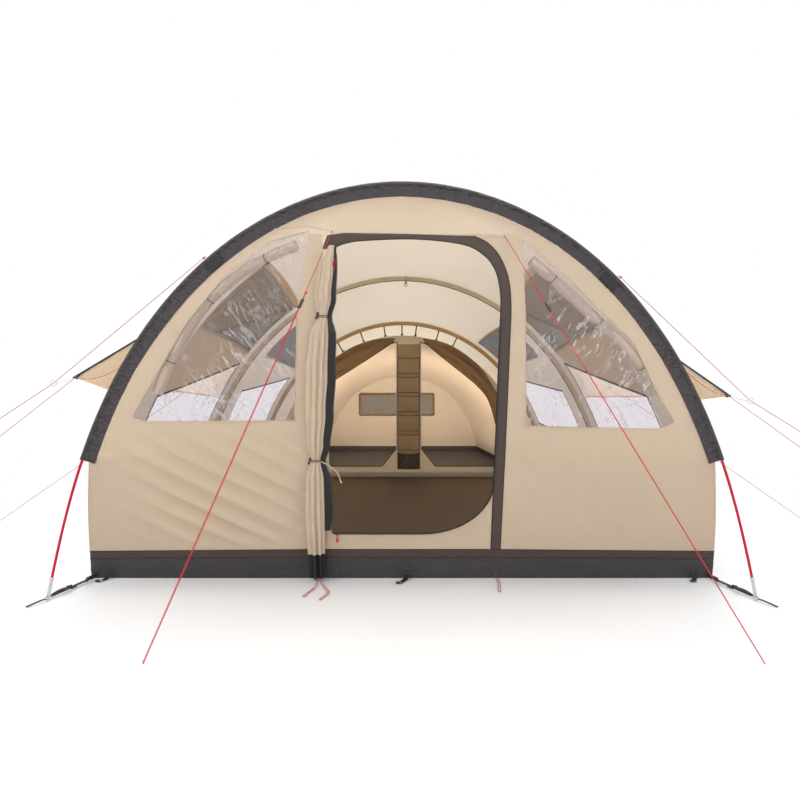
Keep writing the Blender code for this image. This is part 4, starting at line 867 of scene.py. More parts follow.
def bay_surface(start, end, first, columns, rows, low):
    """Rows over one bay; the cloth is drawn into small folds by the sleeves and sags in long ones between."""
    made = []
    for along in evenly(0.0, 1.0, rows):
        line = []
        for share in evenly(-1.0, 1.0, 2 * columns):
            begin = start
            if first:
                z = canopy_point(share * canopy_u(start, low), start).y
                begin = max(start, edge_y(z) - CLOTH)
            y = begin + (end - begin) * along
            u = share * top_u(y, low)
            near = min(y - begin, end - y)
            pull = math.exp(-near / 0.10) * ease(near / 0.012)
            small = 0.0045 * pull * rough(u * 34, y * 1.2, 0, 11)
            wide = 0.010 * ease(near / 0.25) * rough(u * 5.5, y * 0.7, 0, 12)
            slant = 0.004 * ease(near / 0.15) * rough(u * 9 + y * 3, y * 2.0 - u * 5, 0, 13)
            edge = ease((1 - abs(share)) / 0.03)
            point = canopy_point(u, y, (small + wide * 0.5 + slant) * edge)
            line.append(at(point.x, y, point.y))
        made.append(line)
    return made


u_cache = {}


def top_u(y, low):
    key = (round(y, 4), round(low, 4))
    if key not in u_cache:
        u_cache[key] = canopy_u(y, low)
    return u_cache[key]


CLOTH_SHOWN = 0.0014
SEAM = FIN / 2 + GAP
CANOPY_LOW = BAND_TOP + GAP
OPENINGS = {
    "front": ((0.38, 1.42), (1.36, 1.26, 1.68, 1.58), (0.50, 0.62, 0.97, 1.17)),
    "middle": ((1.80, 2.75), (1.24, 1.14, 1.50, 1.40), (0.52, 0.60, 0.95, 1.05)),
}
BAYS = [(name, a[0], b[0]) for name, a, b in zip(("front", "middle", "rear"), ARCHES, ARCHES[1:])]


def wall_point(side, y, z, outward=0.0):
    """A place on a side wall at y and z."""
    return at(side * canopy_half(y, z, outward), y, z)


def opening_outline(places, heights):
    near_low, far_low, near_high, far_high = heights
    return [(places[0], near_low), (places[1], far_low), (places[1], far_high), (places[0], near_high)]


def opening_grid(side, places, heights, columns, rows, outward, bumpy, seed):
    near_low, far_low, near_high, far_high = heights
    made = []
    for t in evenly(0.0, 1.0, rows):
        line = []
        for s in evenly(0.0, 1.0, columns):
            y = places[0] + (places[1] - places[0]) * s
            low, high = near_low + (far_low - near_low) * s, near_high + (far_high - near_high) * s
            z = low + (high - low) * t
            calm = ease(min(s, 1 - s) / 0.08) * ease(min(t, 1 - t) / 0.08)
            line.append(wall_point(side, y, z, outward + bumpy * calm * rough(y * 6, z * 9, side, seed)))
        made.append(line if side < 0 else list(reversed(line)))
    return made


for bay, start, end in BAYS:
    columns, rows = (110, 44) if bay != "rear" else (90, 54)
    surface = mesh_rows(f"{bay}_bay", bay_surface(start + SEAM, end - SEAM, bay == "front", columns, rows, CANOPY_LOW))
    cuts = []
    if bay in OPENINGS:
        places, vent, window = OPENINGS[bay]
        for heights in (vent, window):
            for _, side in SIDES:
                low, high = (0.35, 2.6) if side > 0 else (-2.6, -0.35)
                cuts.append((prism_mesh("hole", opening_outline(places, heights), low, high, "X"), "DIFFERENCE"))
    piece = add(f"{bay}_bay_cloth", thickened(surface, CLOTH_SHOWN, cuts), canopy_cloth, [f"canopy_{bay}_bay"])
    arc = 4.4 if bay != "rear" else 3.8
    declare(piece, arc, end - start)
    if bay not in OPENINGS:
        continue
    for side_name, side in SIDES:
        net = mesh_rows("net", opening_grid(side, places, vent, 40, 18, -0.002, 0.010, 21))
        piece = add(f"{bay}_vent_net_{side_name}", net, vent_net, [f"vent_{bay}_{side_name}"])
        declare(piece, 1.1, 0.42, closed=False)
        clear = mesh_rows("clear", opening_grid(side, places, window, 34, 20, -0.002, 0.007, 22))
        piece = add(f"{bay}_clear_window_{side_name}", clear, side_film, [f"window_{bay}_{side_name}"])
        declare(piece, 1.1, 0.62, closed=False)
        for kind, heights, trim, width in (("vent", vent, canopy_cloth, 0.030), ("window", window, edge_black, 0.012)):
            corners = opening_outline(places, heights)
            for k, (a, b) in enumerate(zip(corners, corners[1:] + corners[:1])):
                spots = list(zip(evenly(a[0], b[0], 14), evenly(a[1], b[1], 14)))
                points = [wall_point(side, y, z, -0.0050) for y, z in spots]
                looks = [wall_point(side, y, z, 0.05) - point for (y, z), point in zip(spots, points)]
                strip(f"{bay}_{kind}_trim_{side_name}_{k}", points, width, 0.0016, looks, trim)

# ---------------------------------------------------------------- the front wall


FINE_CELL = 0.0105  # the grid that shows the folds beside the door


def pull_folds(x, z):
    """Folds that the tied door pulls into the cloth beside it: long and slanting, steeper to the left."""
    if x > DOOR_LEFT:
        size = 0.0020 * ease((x - DOOR_RIGHT) / 0.1) * ease((1.45 - x) / 0.5) * ease((0.80 - z) / 0.12)
        slant = 0.80 * z + 0.60 * x
    else:
        size = 0.0125 * ease((x + 1.54) / 0.55) * ease((0.90 - z) / 0.20) * ease((-0.37 - x) / 0.07)
        slant = (0.88 + 0.10 * (x + 0.9)) * z + 0.48 * x
    if size <= 0.0:
        return 0.0
    slant += 0.022 * rough(x * 1.5, z * 1.5, 0, 33)
    deep = 0.62 + 0.75 * rough(slant * 6.0, x * 0.8, 0, 34)
    turn = 2 * math.pi * slant / 0.104
    return size * deep * (0.6 + math.sin(turn) + 0.30 * math.sin(2 * turn + 0.8))


def front_crease(x, z):
    """Small creases of the front wall: long ones that run down from the brow, and short ones."""
    calm = ease((z - 0.17) / 0.10)
    long = 0.006 * rough(x * 3.2 + z * 1.1, z * 1.1, 0, 31)
    short = 0.0022 * rough(x * 9, z * 5, 0, 32)
    return calm * (long + short + pull_folds(x, z))


def wall_grid(xs, zs, depth):
    """Rows of places over X and Z; depth(x, z) is how far back each lies."""
    return [[at(x, depth(x, z), z) for x in xs] for z in zs]


def cut_out(outline, low, high, holes=()):
    """The cuts that leave a cloth its outline, less its holes, between two depths."""
    cuts = [(prism_mesh("outline", outline, low, high), "INTERSECT")]
    return cuts + [(prism_mesh("hole", hole, low, high), "DIFFERENCE") for hole in holes]


def front_piece(
    name, outline, material, node, holes=(), cell=0.028, thickness=CLOTH_SHOWN, crease=front_crease, lift=0.0
):
    xs, zs = [p[0] for p in outline], [p[1] for p in outline]
    x0, x1, z0, z1 = min(xs) - 0.03, max(xs) + 0.03, min(zs) - 0.03, min(max(zs) + 0.03, 2.0)
    columns, rows = max(2, round((x1 - x0) / cell)), max(2, round((z1 - z0) / cell))
    grid = wall_grid(evenly(x0, x1, columns), evenly(z0, z1, rows), lambda x, z: front_y(x, z) + crease(x, z) + lift)
    cloth_mesh = thickened(mesh_rows(name, grid), thickness, cut_out(outline, -1.0, 1.0, holes))
    return add(name, cloth_mesh, material, [node])


def on_wall(x, z, off=0.0):
    """A place on the front wall; off is how far in front of it."""
    return at(x, front_y(x, z) + front_crease(x, z) - off, z)


def stations(arch, end_z, steps=26):
    end = arch_u(arch, end_z)
    return [end * (2 * i / steps - 1) for i in range(steps + 1)]


def frame_edge(side):
    places = sorted((u for u in stations(ARCHES[0], SLEEVE_END_Z) if u * side > 0), key=abs)
    return [tuple(arch_point(ARCHES[0], u, -SLEEVE_ROOT + 0.002)) for u in places]


def wall_edge(side):
    heights = evenly(SLEEVE_END_Z - 0.02, CANOPY_LOW, 5)
    return [(side * (canopy_half(edge_y(z), z, -0.002) - 0.002), z) for z in heights]


def brow_edge(x):
    return BROW_LEFT[1] + (BROW_RIGHT[1] - BROW_LEFT[1]) * (x - BROW_LEFT[0]) / (BROW_RIGHT[0] - BROW_LEFT[0])


left_edge, right_edge = frame_edge(-1), frame_edge(1)
end_left = min(range(len(left_edge)), key=lambda i: abs(left_edge[i][0] + 0.66))
end_right = min(range(len(right_edge)), key=lambda i: abs(right_edge[i][0] - 0.78))
bend_left = (BROW_LEFT[0] - 0.12, BROW_LEFT[1] + 0.04)
bend_right = (BROW_RIGHT[0] + 0.15, BROW_RIGHT[1] + 0.04)
brow_line = [left_edge[end_left], bend_left, BROW_LEFT, BROW_RIGHT, bend_right, right_edge[end_right]]
crown = tuple(arch_point(ARCHES[0], 0.0, -SLEEVE_ROOT))
brow_top = list(reversed(right_edge[:end_right])) + [crown] + left_edge[:end_left]
brow = front_piece("brow_cloth", brow_line + brow_top, panel_cloth, "front_brow", cell=0.02)
declare(brow, 1.42, 0.26)

WINDOW_LEFT = [
    (-1.31, 0.885), (-1.24, 0.862), (-0.535, 0.862), (-0.50, 1.38), (-0.428, 1.762), (-0.64, 1.72), (-0.85, 1.57),
    (-1.04, 1.345), (-1.19, 1.094),
]
WINDOW_RIGHT = [
    (0.615, 0.835), (1.26, 0.825), (1.325, 0.86), (1.245, 0.99), (1.12, 1.25), (0.965, 1.39), (0.77, 1.58),
    (0.567, 1.728), (0.59, 1.38),
]
FLAP_OUT = DOOR_RIGHT + DOOR_FLAP


def rounded(points, per=5):
    """The smooth line through places in X and Z."""
    return [(p.x, p.y) for p in flat_line(points, per)]


flap_outer = [(FLAP_OUT, CANOPY_LOW)] + rounded([
    (FLAP_OUT, 1.25), (FLAP_OUT, 1.40), (FLAP_OUT - 0.014, 1.53), (FLAP_OUT - 0.055, 1.63),
    (FLAP_OUT - 0.12, 1.70), (FLAP_OUT - 0.19, brow_edge(FLAP_OUT - 0.19) - 0.001),
])
flap_inner = rounded([
    (-0.332, 1.672), (-0.26, 1.700), (-0.17, 1.712), (0.06, 1.717), (0.28, 1.695), (DOOR_RIGHT - 0.085, 1.645),
    (DOOR_RIGHT - 0.03, 1.575), (DOOR_RIGHT - 0.005, 1.48), (DOOR_RIGHT, 1.38), (DOOR_RIGHT, 1.2),
]) + [(DOOR_RIGHT, CANOPY_LOW)]
flap_top = [(-0.26, brow_edge(-0.26) - 0.001), (-0.345, 1.735), (DOOR_LEFT, 1.675)]
left_outline = [(DOOR_LEFT, CANOPY_LOW), (DOOR_LEFT, BROW_LEFT[1] + 0.012), (bend_left[0], bend_left[1] - 0.001)]
left_outline += left_edge[end_left:] + wall_edge(-1)
right_outline = list(reversed(wall_edge(1))) + list(reversed(right_edge[end_right:]))
right_outline += [(bend_right[0], bend_right[1] - 0.001), (BROW_RIGHT[0], BROW_RIGHT[1] - 0.001)]
right_outline += list(reversed(flap_outer[:-1]))
panel = front_piece("left_panel_cloth", left_outline, panel_cloth, "front_panel_left", [WINDOW_LEFT], FINE_CELL)
declare(panel, 1.30, 1.66)
panel = front_piece("right_panel_cloth", right_outline, panel_cloth, "front_panel_right", [WINDOW_RIGHT])
declare(panel, 1.30, 1.66)
flap_outline = flap_outer + flap_top + flap_inner
front_piece("zip_flap_cloth", flap_outline, flap_cloth, "door_zip_flap", cell=0.018, lift=-0.0008)
corner_wide, corner_high = DOOR_RIGHT - DOOR_CORNER_X, DOOR_CORNER_Z - DOOR_SILL_Z
sill_corner = [
    (DOOR_CORNER_X + corner_wide * math.cos(a), DOOR_CORNER_Z - corner_high * math.sin(a))
    for a in evenly(0.0, math.pi / 2, 12)
]
sill_outline = [(DOOR_LEFT, CANOPY_LOW), (DOOR_RIGHT, CANOPY_LOW)] + sill_corner + [(DOOR_LEFT, DOOR_SILL_Z)]
sill = front_piece("sill_cloth", sill_outline, panel_cloth, "door_sill", cell=0.02)
declare(sill, 0.84, 0.38)


def film_crease(x, z):
    """Soft dents of clear sheeting that was folded: facets that meet along bent lines."""
    big = rough(x * 3.4 + z * 0.8, z * 2.6 - x, 0, 41)
    dent = abs(rough(x * 5.0, z * 4.2 + x * 1.6, 0, 42)) + 0.6 * abs(rough(x * 9.5 - z * 3, z * 8.0, 0, 43))
    return 0.007 * big + 0.010 * dent


for side_name, outline in (("left", WINDOW_LEFT), ("right", WINDOW_RIGHT)):
    mid_x, mid_z = (sum(p[k] for p in outline) / len(outline) for k in (0, 1))
    wide = [(mid_x + (x - mid_x) * 1.012, mid_z + (z - mid_z) * 1.012) for x, z in outline]
    clear = front_piece(
        f"clear_window_{side_name}", wide, window_films[side_name], f"front_window_{side_name}",
        cell=0.018, thickness=0.0006, crease=film_crease, lift=0.002,
    )
    declare(clear, 0.92, 0.95)
    line = [on_wall(x, z, 0.0012) for x, z in outline + outline[:1]]
    tube(f"window_welt_{side_name}", resample(line, 0.03), 0.0028, canopy_cloth, sides=1)


def wall_line(points, off=0.0015, spacing=0.02):
    """A line laid on the front wall through places in X and Z."""
    flat = resample([(x, z, 0) for x, z in points], spacing)
    return [on_wall(p.x, p.y, off) for p in flat]


# Piping along the seams of the front wall, and the zip along the sill and round the door.
tube("brow_piping", wall_line(brow_line), 0.0020, canopy_cloth, sides=1)
tube("flap_piping", wall_line(flap_outer), 0.0018, edge_black, sides=1)
tube("flap_lip", wall_line(flap_inner), 0.0026, edge_black, sides=1)
zip_run = [(DOOR_LEFT + 0.01, DOOR_SILL_Z)] + list(reversed(sill_corner)) + [(DOOR_RIGHT, 0.9), (DOOR_RIGHT, 1.36)]
tube("zip_tape", wall_line(zip_run, 0.002, 0.012), 0.0042, edge_black, sides=1)


def zip_teeth(name, points):
    """Moulded teeth along a zip, each a small bar across it."""
    bm = bmesh.new()
    line = resample(points, 0.0055)
    for a, b in zip(line, line[1:]):
        turned = facing((a + b) / 2, b - a)
        bmesh.ops.create_cube(bm, size=1.0, matrix=turned @ Matrix.Diagonal((0.0062, 0.0052, 0.0030, 1.0)))
    return add(name, mesh_of(name, bm), black_plastic, smooth=False)


zip_teeth("zip_teeth_sill", wall_line(zip_run, 0.0062, 0.012))

# ---------------------------------------------------------------- rolled curtains behind the front windows

CURTAINS = {
    "left": [(-1.20, 1.00), (-1.09, 1.24), (-0.93, 1.46), (-0.72, 1.62), (-0.50, 1.70)],
    "right": [(1.25, 1.00), (1.12, 1.20), (0.94, 1.37), (0.76, 1.53), (0.62, 1.64)],
}
CURTAIN_TIES = (0.16, 0.5, 0.84)
for side_name, side in SIDES:
    middle = [at(x, front_y(x, z) + 0.0033 + 0.030, z) for x, z in CURTAINS[side_name]]
    line = resample(smooth_line(middle, 10), 0.012)
    rows = []
    for k, point in enumerate(line):
        run = run_at(line, k)
        first = run.cross(Vector((0, 1, 0))).normalized()
        second = run.cross(first)
        t = k / (len(line) - 1)
        tie = min(abs(t - s) for s in CURTAIN_TIES)
        waist = 1 - 0.26 * math.exp(-(tie / 0.018) ** 2)
        row = []
        for i, angle in enumerate(turns(40)):
            wrap = 1 - 0.16 * ((i / 40 + t * 0.35) % 1.0)
            soft = 1 + 0.10 * rough(math.cos(angle) * 1.4, math.sin(angle) * 1.4, t * 9, 51 + side)
            radius = 0.029 * waist * wrap * soft
            row.append(point + first * radius * math.cos(angle) + second * radius * math.sin(angle))
        rows.append(row)
    roll = mesh_rows("roll", rows, closed=True, caps=True)
    add(f"rolled_curtain_{side_name}", roll, canopy_cloth, [f"curtain_roll_{side_name}"])
    for j, s in enumerate(CURTAIN_TIES):
        k = round(s * (len(line) - 1))
        run = run_at(line, k)
        first = run.cross(Vector((0, 1, 0))).normalized()
        loop = ring_points(line[k], 0.0222, first, run.cross(first), 24)
        tube(f"curtain_tie_{side_name}_{j}", loop, 0.0022, cord_black, cyclic=True)

# ---------------------------------------------------------------- the door, gathered and tied at the left

DOOR_TIES = (1.366, 0.657)
DOOR_ROWS = (
    (1.690, -0.325, 0.014, 0.008, 0.005), (1.665, -0.333, 0.018, 0.010, 0.005), (1.600, -0.352, 0.034, 0.022, 0.008),
    (1.450, -0.372, 0.040, 0.030, 0.011), (DOOR_TIES[0], -0.378, 0.024, 0.018, 0.010),
    (1.280, -0.395, 0.046, 0.034, 0.017), (1.100, -0.412, 0.052, 0.038, 0.019), (0.900, -0.424, 0.050, 0.036, 0.018),
    (0.740, -0.434, 0.042, 0.030, 0.016), (DOOR_TIES[1], -0.438, 0.026, 0.020, 0.012),
    (0.560, -0.442, 0.046, 0.032, 0.017), (0.400, -0.446, 0.050, 0.036, 0.020), (0.285, -0.447, 0.049, 0.036, 0.014),
    (0.150, -0.447, 0.046, 0.036, 0.0), (0.020, -0.447, 0.044, 0.034, 0.0),
)


def door_row(z):
    """Middle X, half width, half depth and zip half width of the gathered door at a height."""
    for a, b in zip(DOOR_ROWS, DOOR_ROWS[1:]):
        if a[0] >= z >= b[0]:
            t = ease((a[0] - z) / (a[0] - b[0]))
            return [a[k] + (b[k] - a[k]) * t for k in range(1, 5)]
    return DOOR_ROWS[0 if z > DOOR_ROWS[0][0] else -1][1:]


DOOR_FOLDS = 7


def door_ring(z, points=110):
    x, wide, deep, _ = door_row(z)
    middle = front_y(x, z) - deep - GAP - 0.002
    tight = math.exp(-(min(abs(z - tie) for tie in DOOR_TIES) / 0.045) ** 2)
    ring = []
    for a in turns(points):
        c, s = math.cos(a), math.sin(a)
        wander = 0.55 * rough(z * 2.1, c, s, 61)
        fold = 0.5 - 0.5 * math.cos(DOOR_FOLDS * a + 3.0 * wander)
        depth = (0.46 + 0.30 * rough(z * 3.1, c * 1.3, s * 1.3, 64)) * (1 - 0.45 * tight)
        radius = 1 - depth * fold ** 1.6 + 0.05 * rough(c * 2, s * 2, z * 6, 62)
        ring.append(at(x + wide * radius * c, middle + deep * radius * s, z))
    return ring


def door_band(name, high, low, material, nodes=(), swell=1.0):
    rows = [door_ring(z) for z in evenly(high, low, max(6, round((high - low) / 0.012)))]
    if swell != 1.0:
        middles = [sum(ring, Vector()) / len(ring) for ring in rows]
        rows = [[middle + (p - middle) * swell for p in ring] for middle, ring in zip(middles, rows)]
    return add(name, mesh_rows(name, rows, closed=True), material, nodes)


door = door_band("gathered_door", 1.688, 0.150, panel_cloth, ["door_roll"])
declare(door, 0.62, 1.52)
hem = door_band("door_hem", 0.158, 0.022, edge_black, swell=1.02)
declare(hem, 0.62, 0.14, closed=False)

strip_rows = []
for z in evenly(1.685, 0.285, 110):
    x, wide, deep, half = door_row(z)
    y = front_y(x, z) - deep - GAP
    left = x + wide + GAP - 0.004
    half = max(half, 0.004)
    bend = 0.003 * rough(z * 7, 0, 0, 63)
    row = []
    for s, t in ((0, -1), (0.5, -1.3), (1, -1), (1, 1), (0.5, 1.2), (0, 1)):
        row.append(at(left + (2 * half + 0.004) * s, y + bend * s + 0.0022 * t, z))
    strip_rows.append(row)
zip_mesh = mesh_rows("zip_strip", strip_rows, closed=True, caps=True)
add("door_zip_tape", zip_mesh, edge_black, ["door_zip_strip"])
edge_line = []
for z in evenly(1.655, 0.29, 229):
    x, wide, deep, half = door_row(z)
    y = front_y(x, z) - deep - GAP + 0.003 * rough(z * 7, 0, 0, 63)
    edge_line.append(at(x + wide + GAP + 2 * max(half, 0.004), y, z))
zip_teeth("zip_teeth_door", edge_line)

# Two ties round the gathered door, with their toggles.
TOGGLE = [(0.0035, -0.017), (0.0062, -0.014), (0.0046, -0.006), (0.0044, 0.006), (0.0062, 0.014), (0.0035, 0.017)]
for number, (z, toggle_x) in enumerate(zip(DOOR_TIES, (-0.0216, -0.024))):
    x, wide, deep, _ = door_row(z)
    middle = at(x, front_y(x, z) - deep - 0.002, z)
    for where, lift in (("low", -0.0035), ("high", 0.0035)):
        loop = [Vector(((wide + 0.0015) * math.cos(a), (deep + 0.0015) * math.sin(a), lift)) for a in turns(36)]
        tube(f"door_tie_{number}_{where}", [middle + p for p in loop], 0.0017, cord_black, cyclic=True)
    spot = middle + Vector((toggle_x, -deep - 0.006, 0.002))
    lathe(f"door_toggle_{number}", TOGGLE, facing(spot, (0.25, 0.1, 1.0)), black_plastic)
# The lower tie's spare end hangs from the right of the bundle.
TAIL_RADIUS = 0.0021
TAIL = ((0.0, 0.0, 0.0), (0.045, -0.004, -0.022), (0.085, 0.0, -0.058), (0.105, 0.0, -0.105))
x, wide, deep, _ = door_row(DOOR_TIES[1])
start = at(x + wide, front_y(x, DOOR_TIES[1]) - deep - 0.004, DOOR_TIES[1] - 0.002)
tail = smooth_line([start + Vector(p) for p in TAIL], 6)
piece = tube("door_tie_tail", tail, TAIL_RADIUS, cord_beige)
stop = knot("door_tie_knot", tail[-1], (0.1, 0, -1), 0.0036, cord_beige)

# ---------------------------------------------------------------- rear wall, mud band and groundsheet


def rear_crease(x, z):
    calm = ease((z - 0.17) / 0.08) * ease((1.02 - z) / 0.05)
    return calm * (0.008 * rough(x * 2.8, z * 2.2, 0, 71) + 0.002 * rough(x * 9, z * 7, 0, 72))


rear_edge = [tuple(arch_point(ARCHES[3], u, -SLEEVE_ROOT + 0.002)) for u in stations(ARCHES[3], SLEEVE_LOW)]
rear_edge = [p for p in rear_edge if p[1] > 0.55]


def rear_reach(z):
    """Half of the rear wall's width at a height: to the sleeve's root, and behind the sleeve low down."""
    if z < 0.55:
        return canopy_half(ARCHES[3][0], z) - 0.014 - 0.0475 * ease((z - 0.20) / 0.35)
    side = sorted(((h, abs(x)) for x, h in rear_edge if x > 0))
    for (low, a), (high, b) in zip(side, side[1:]):
        if low <= z <= high:
            return max(0.05, a + (b - a) * (z - low) / max(1e-6, high - low))
    return side[0][1] if z < side[0][0] else 0.05


def wall_y(x, z):
    top = ARCHES[3][2] - CANOPY_DROP
    return ARCHES[3][0] + 0.0035 + REAR_TOE * max(0.0, 1 - z / top) * max(0.0, 1 - (abs(x) / rear_reach(z)) ** 4)


low_edge = [(rear_reach(z), z) for z in (CANOPY_LOW, 0.20, 0.24, 0.29, 0.34, 0.40, 0.46, 0.52)]
rear_outline = [(-x, z) for x, z in reversed(low_edge)] + low_edge
rear_outline += [(x * 1.010, z + (z - 0.55) * 0.010) for x, z in sorted(rear_edge, key=lambda p: -p[0])]
grid = wall_grid(evenly(1.3, -1.3, 90), evenly(0.12, 1.14, 40), lambda x, z: wall_y(x, z) + rear_crease(-x, z))
mesh = thickened(mesh_rows("rear", grid), CLOTH_SHOWN, cut_out(rear_outline, 4.0, 7.0))
declare(add("rear_wall_cloth", mesh, canopy_cloth, ["rear_panel"]), 2.15, 0.98)


def footprint(z, inside=0.0, crumple=0.0):
    """The tent's outline at a height, from the front left corner round, or as much inside it."""
    near, far = edge_y(z), ARCHES[3][0]
    half = canopy_half(near, z)
    points = [(x * (half - inside) / half, front_y(x, z) + inside, 0, -1) for x in evenly(-half, half, 64)]
    points += [(canopy_half(y, z) - inside, y, 1, 0) for y in evenly(near, far, 90)[1:-1]]
    half = canopy_half(far, z)
    points += [(x * (half - inside) / half, rear_y(x, z) - inside, 0, 1) for x in evenly(half, -half, 40)]
    points += [(inside - canopy_half(y, z), y, -1, 0) for y in evenly(far, near, 90)[1:-1]]
    made = []
    for x, y, nx, ny in points:
        lift = crumple * (rough(x * 9, y * 9, z * 14, 73) + 0.5 * rough(x * 24, y * 24, z * 30, 74))
        made.append(at(x + nx * lift, y + ny * lift, z))
    return made


def wall_ring(name, low, high, steps, crumple, material, node):
    """An upright band all round the tent, with an outer and an inner side."""
    levels = [(z, crumple * math.sin(math.pi * (z - low) / (high - low))) for z in evenly(low, high, steps)]
    rows = [footprint(z, 0.0, crumpled) for z, crumpled in levels]
    rows += [footprint(z, 0.0016, crumpled) for z, crumpled in reversed(levels)]
    return add(name, mesh_rows(name, rows, closed=True, looped=True), material, [node])


band = wall_ring("mud_band_cloth", TRAY_HEIGHT, BAND_TOP, 4, 0.0020, band_cloth, "mud_band")
declare(band, 17.0, 0.046)
wall = wall_ring("groundsheet_wall", 0.0, TRAY_HEIGHT, 8, 0.0045, ground_cloth, "groundsheet")
declare(wall, 17.0, 0.12)
for name, z in (("band_welt", BAND_TOP), ("tray_welt", TRAY_HEIGHT)):
    tube(name, footprint(z, -0.0006), 0.0020, edge_black, cyclic=True, sides=1)
FLOOR_SHEET = 0.0022
base = footprint(0.0, FLOOR_SHEET)
rows = [[Vector((p.x, p.y, 0.0006)) for p in base]]
centre = at(0, 2.6, 0)
for s in [1.0, 0.995, 0.98, 0.95] + [0.9 - 0.06 * i for i in range(15)]:
    row = []
    for p in base:
        q = centre.lerp(p, s)
        lift = 0.0055 * (0.5 + 0.5 * rough(q.x * 2.6, q.y * 2.6, 0, 75)) + 0.002 * abs(rough(q.x * 8, q.y * 8, 0, 76))
        row.append(Vector((q.x, q.y, FLOOR_SHEET + ease((1 - s) / 0.05) * lift)))
    rows.append(row)
floor_piece = add("groundsheet_floor", mesh_rows("floor", rows, closed=True, caps=True), floor_cloth)
declare(floor_piece, 3.35, 5.6)

# Peg tabs at the middle of the front and at its two corners.
for name, x, spread, long in (("middle", 0.03, 0.010, 1.7), ("left", -1.56, 0.012, 1.0), ("right", 1.56, 0.012, 1.0)):
    y = front_y(x, 0.02)
    end = at(x - 0.020 * long, y - 0.036 * long, 0.004)
    for half, s in (("a", -1), ("b", 1)):
        line = [
            at(x + s * spread, y - 0.004, 0.052), at(x + s * spread * 0.9, y - 0.012, 0.026),
            at(x + s * spread * 0.5 - 0.008 * long, y - 0.022 * long, 0.009), end,
        ]
        strip(f"peg_tab_{name}_{half}", smooth_line(line, 5), 0.014, 0.0024, (0, -0.6, 1), webbing)
    loop = ring_points(end + Vector((-0.006, -0.010, 0.001)), 0.013, (1, 0, 0), (0, 1, 0.05))
    tube(f"peg_ring_{name}", loop, 0.0020, cord_black, cyclic=True)
    beside = Matrix.Translation(end + Vector((-0.018, -0.018, 0.004)))
    rounded_box(f"peg_stop_{name}", (0.020, 0.012, 0.010), beside, black_plastic)

# Red shock cord from the foot of the door's hem and of its right edge, lying loose on the ground.
LOOPS = (
    ("left", -0.445, [(-0.010, -0.060), (-0.030, -0.110), (-0.042, -0.150)]),
    ("middle", -0.420, [(0.022, -0.050), (0.045, -0.110), (0.020, -0.185)]),
    ("right", 0.497, [(0.004, -0.060), (-0.004, -0.110), (-0.014, -0.165)]),
)
for name, x, places in LOOPS:
    y = front_y(x, 0.03) - (0.082 if name != "right" else 0.006)
    lie = CORD_RADIUS + 0.001
    start = at(x, y, 0.030)
    there = [start, start + Vector((0, -0.010, -0.020))]
    there += [Vector((start.x + dx, start.y + dy, lie)) for dx, dy in places]
    end = there[-1]
    back = [end + Vector((0.007, -0.007, 0)), end + Vector((0.014, 0.0, 0))]
    back += [p + Vector((0.012, 0, 0)) for p in reversed(there[2:-1])]
    back += [there[1] + Vector((0.010, 0, 0)), start + Vector((0.009, 0, 0))]
    guy(f"shock_cord_{name}", smooth_line(there + back, 6))

# ---------------------------------------------------------------- vent hoods


def hood_patch(edge, tip, sag, down, steps=26):
    """Rows from a line on the wall out to the tip, hanging a little between them."""
    rows = []
    for j in range(steps + 1):
        s = (j / steps) ** 0.9 * 0.985
        calm = 0.004 * ease(s / 0.1) * ease((1 - s) / 0.2)
        row = []
        for i, p in enumerate(edge):
            t = i / (len(edge) - 1)
            q = p.lerp(tip, s)
            slack = sag * 4 * s * (1 - s) * (4 * t * (1 - t)) + calm * rough(q.x * 6, q.y * 6, q.z * 6, 81)
            row.append(q + down * slack)
        rows.append(row)
    return rows


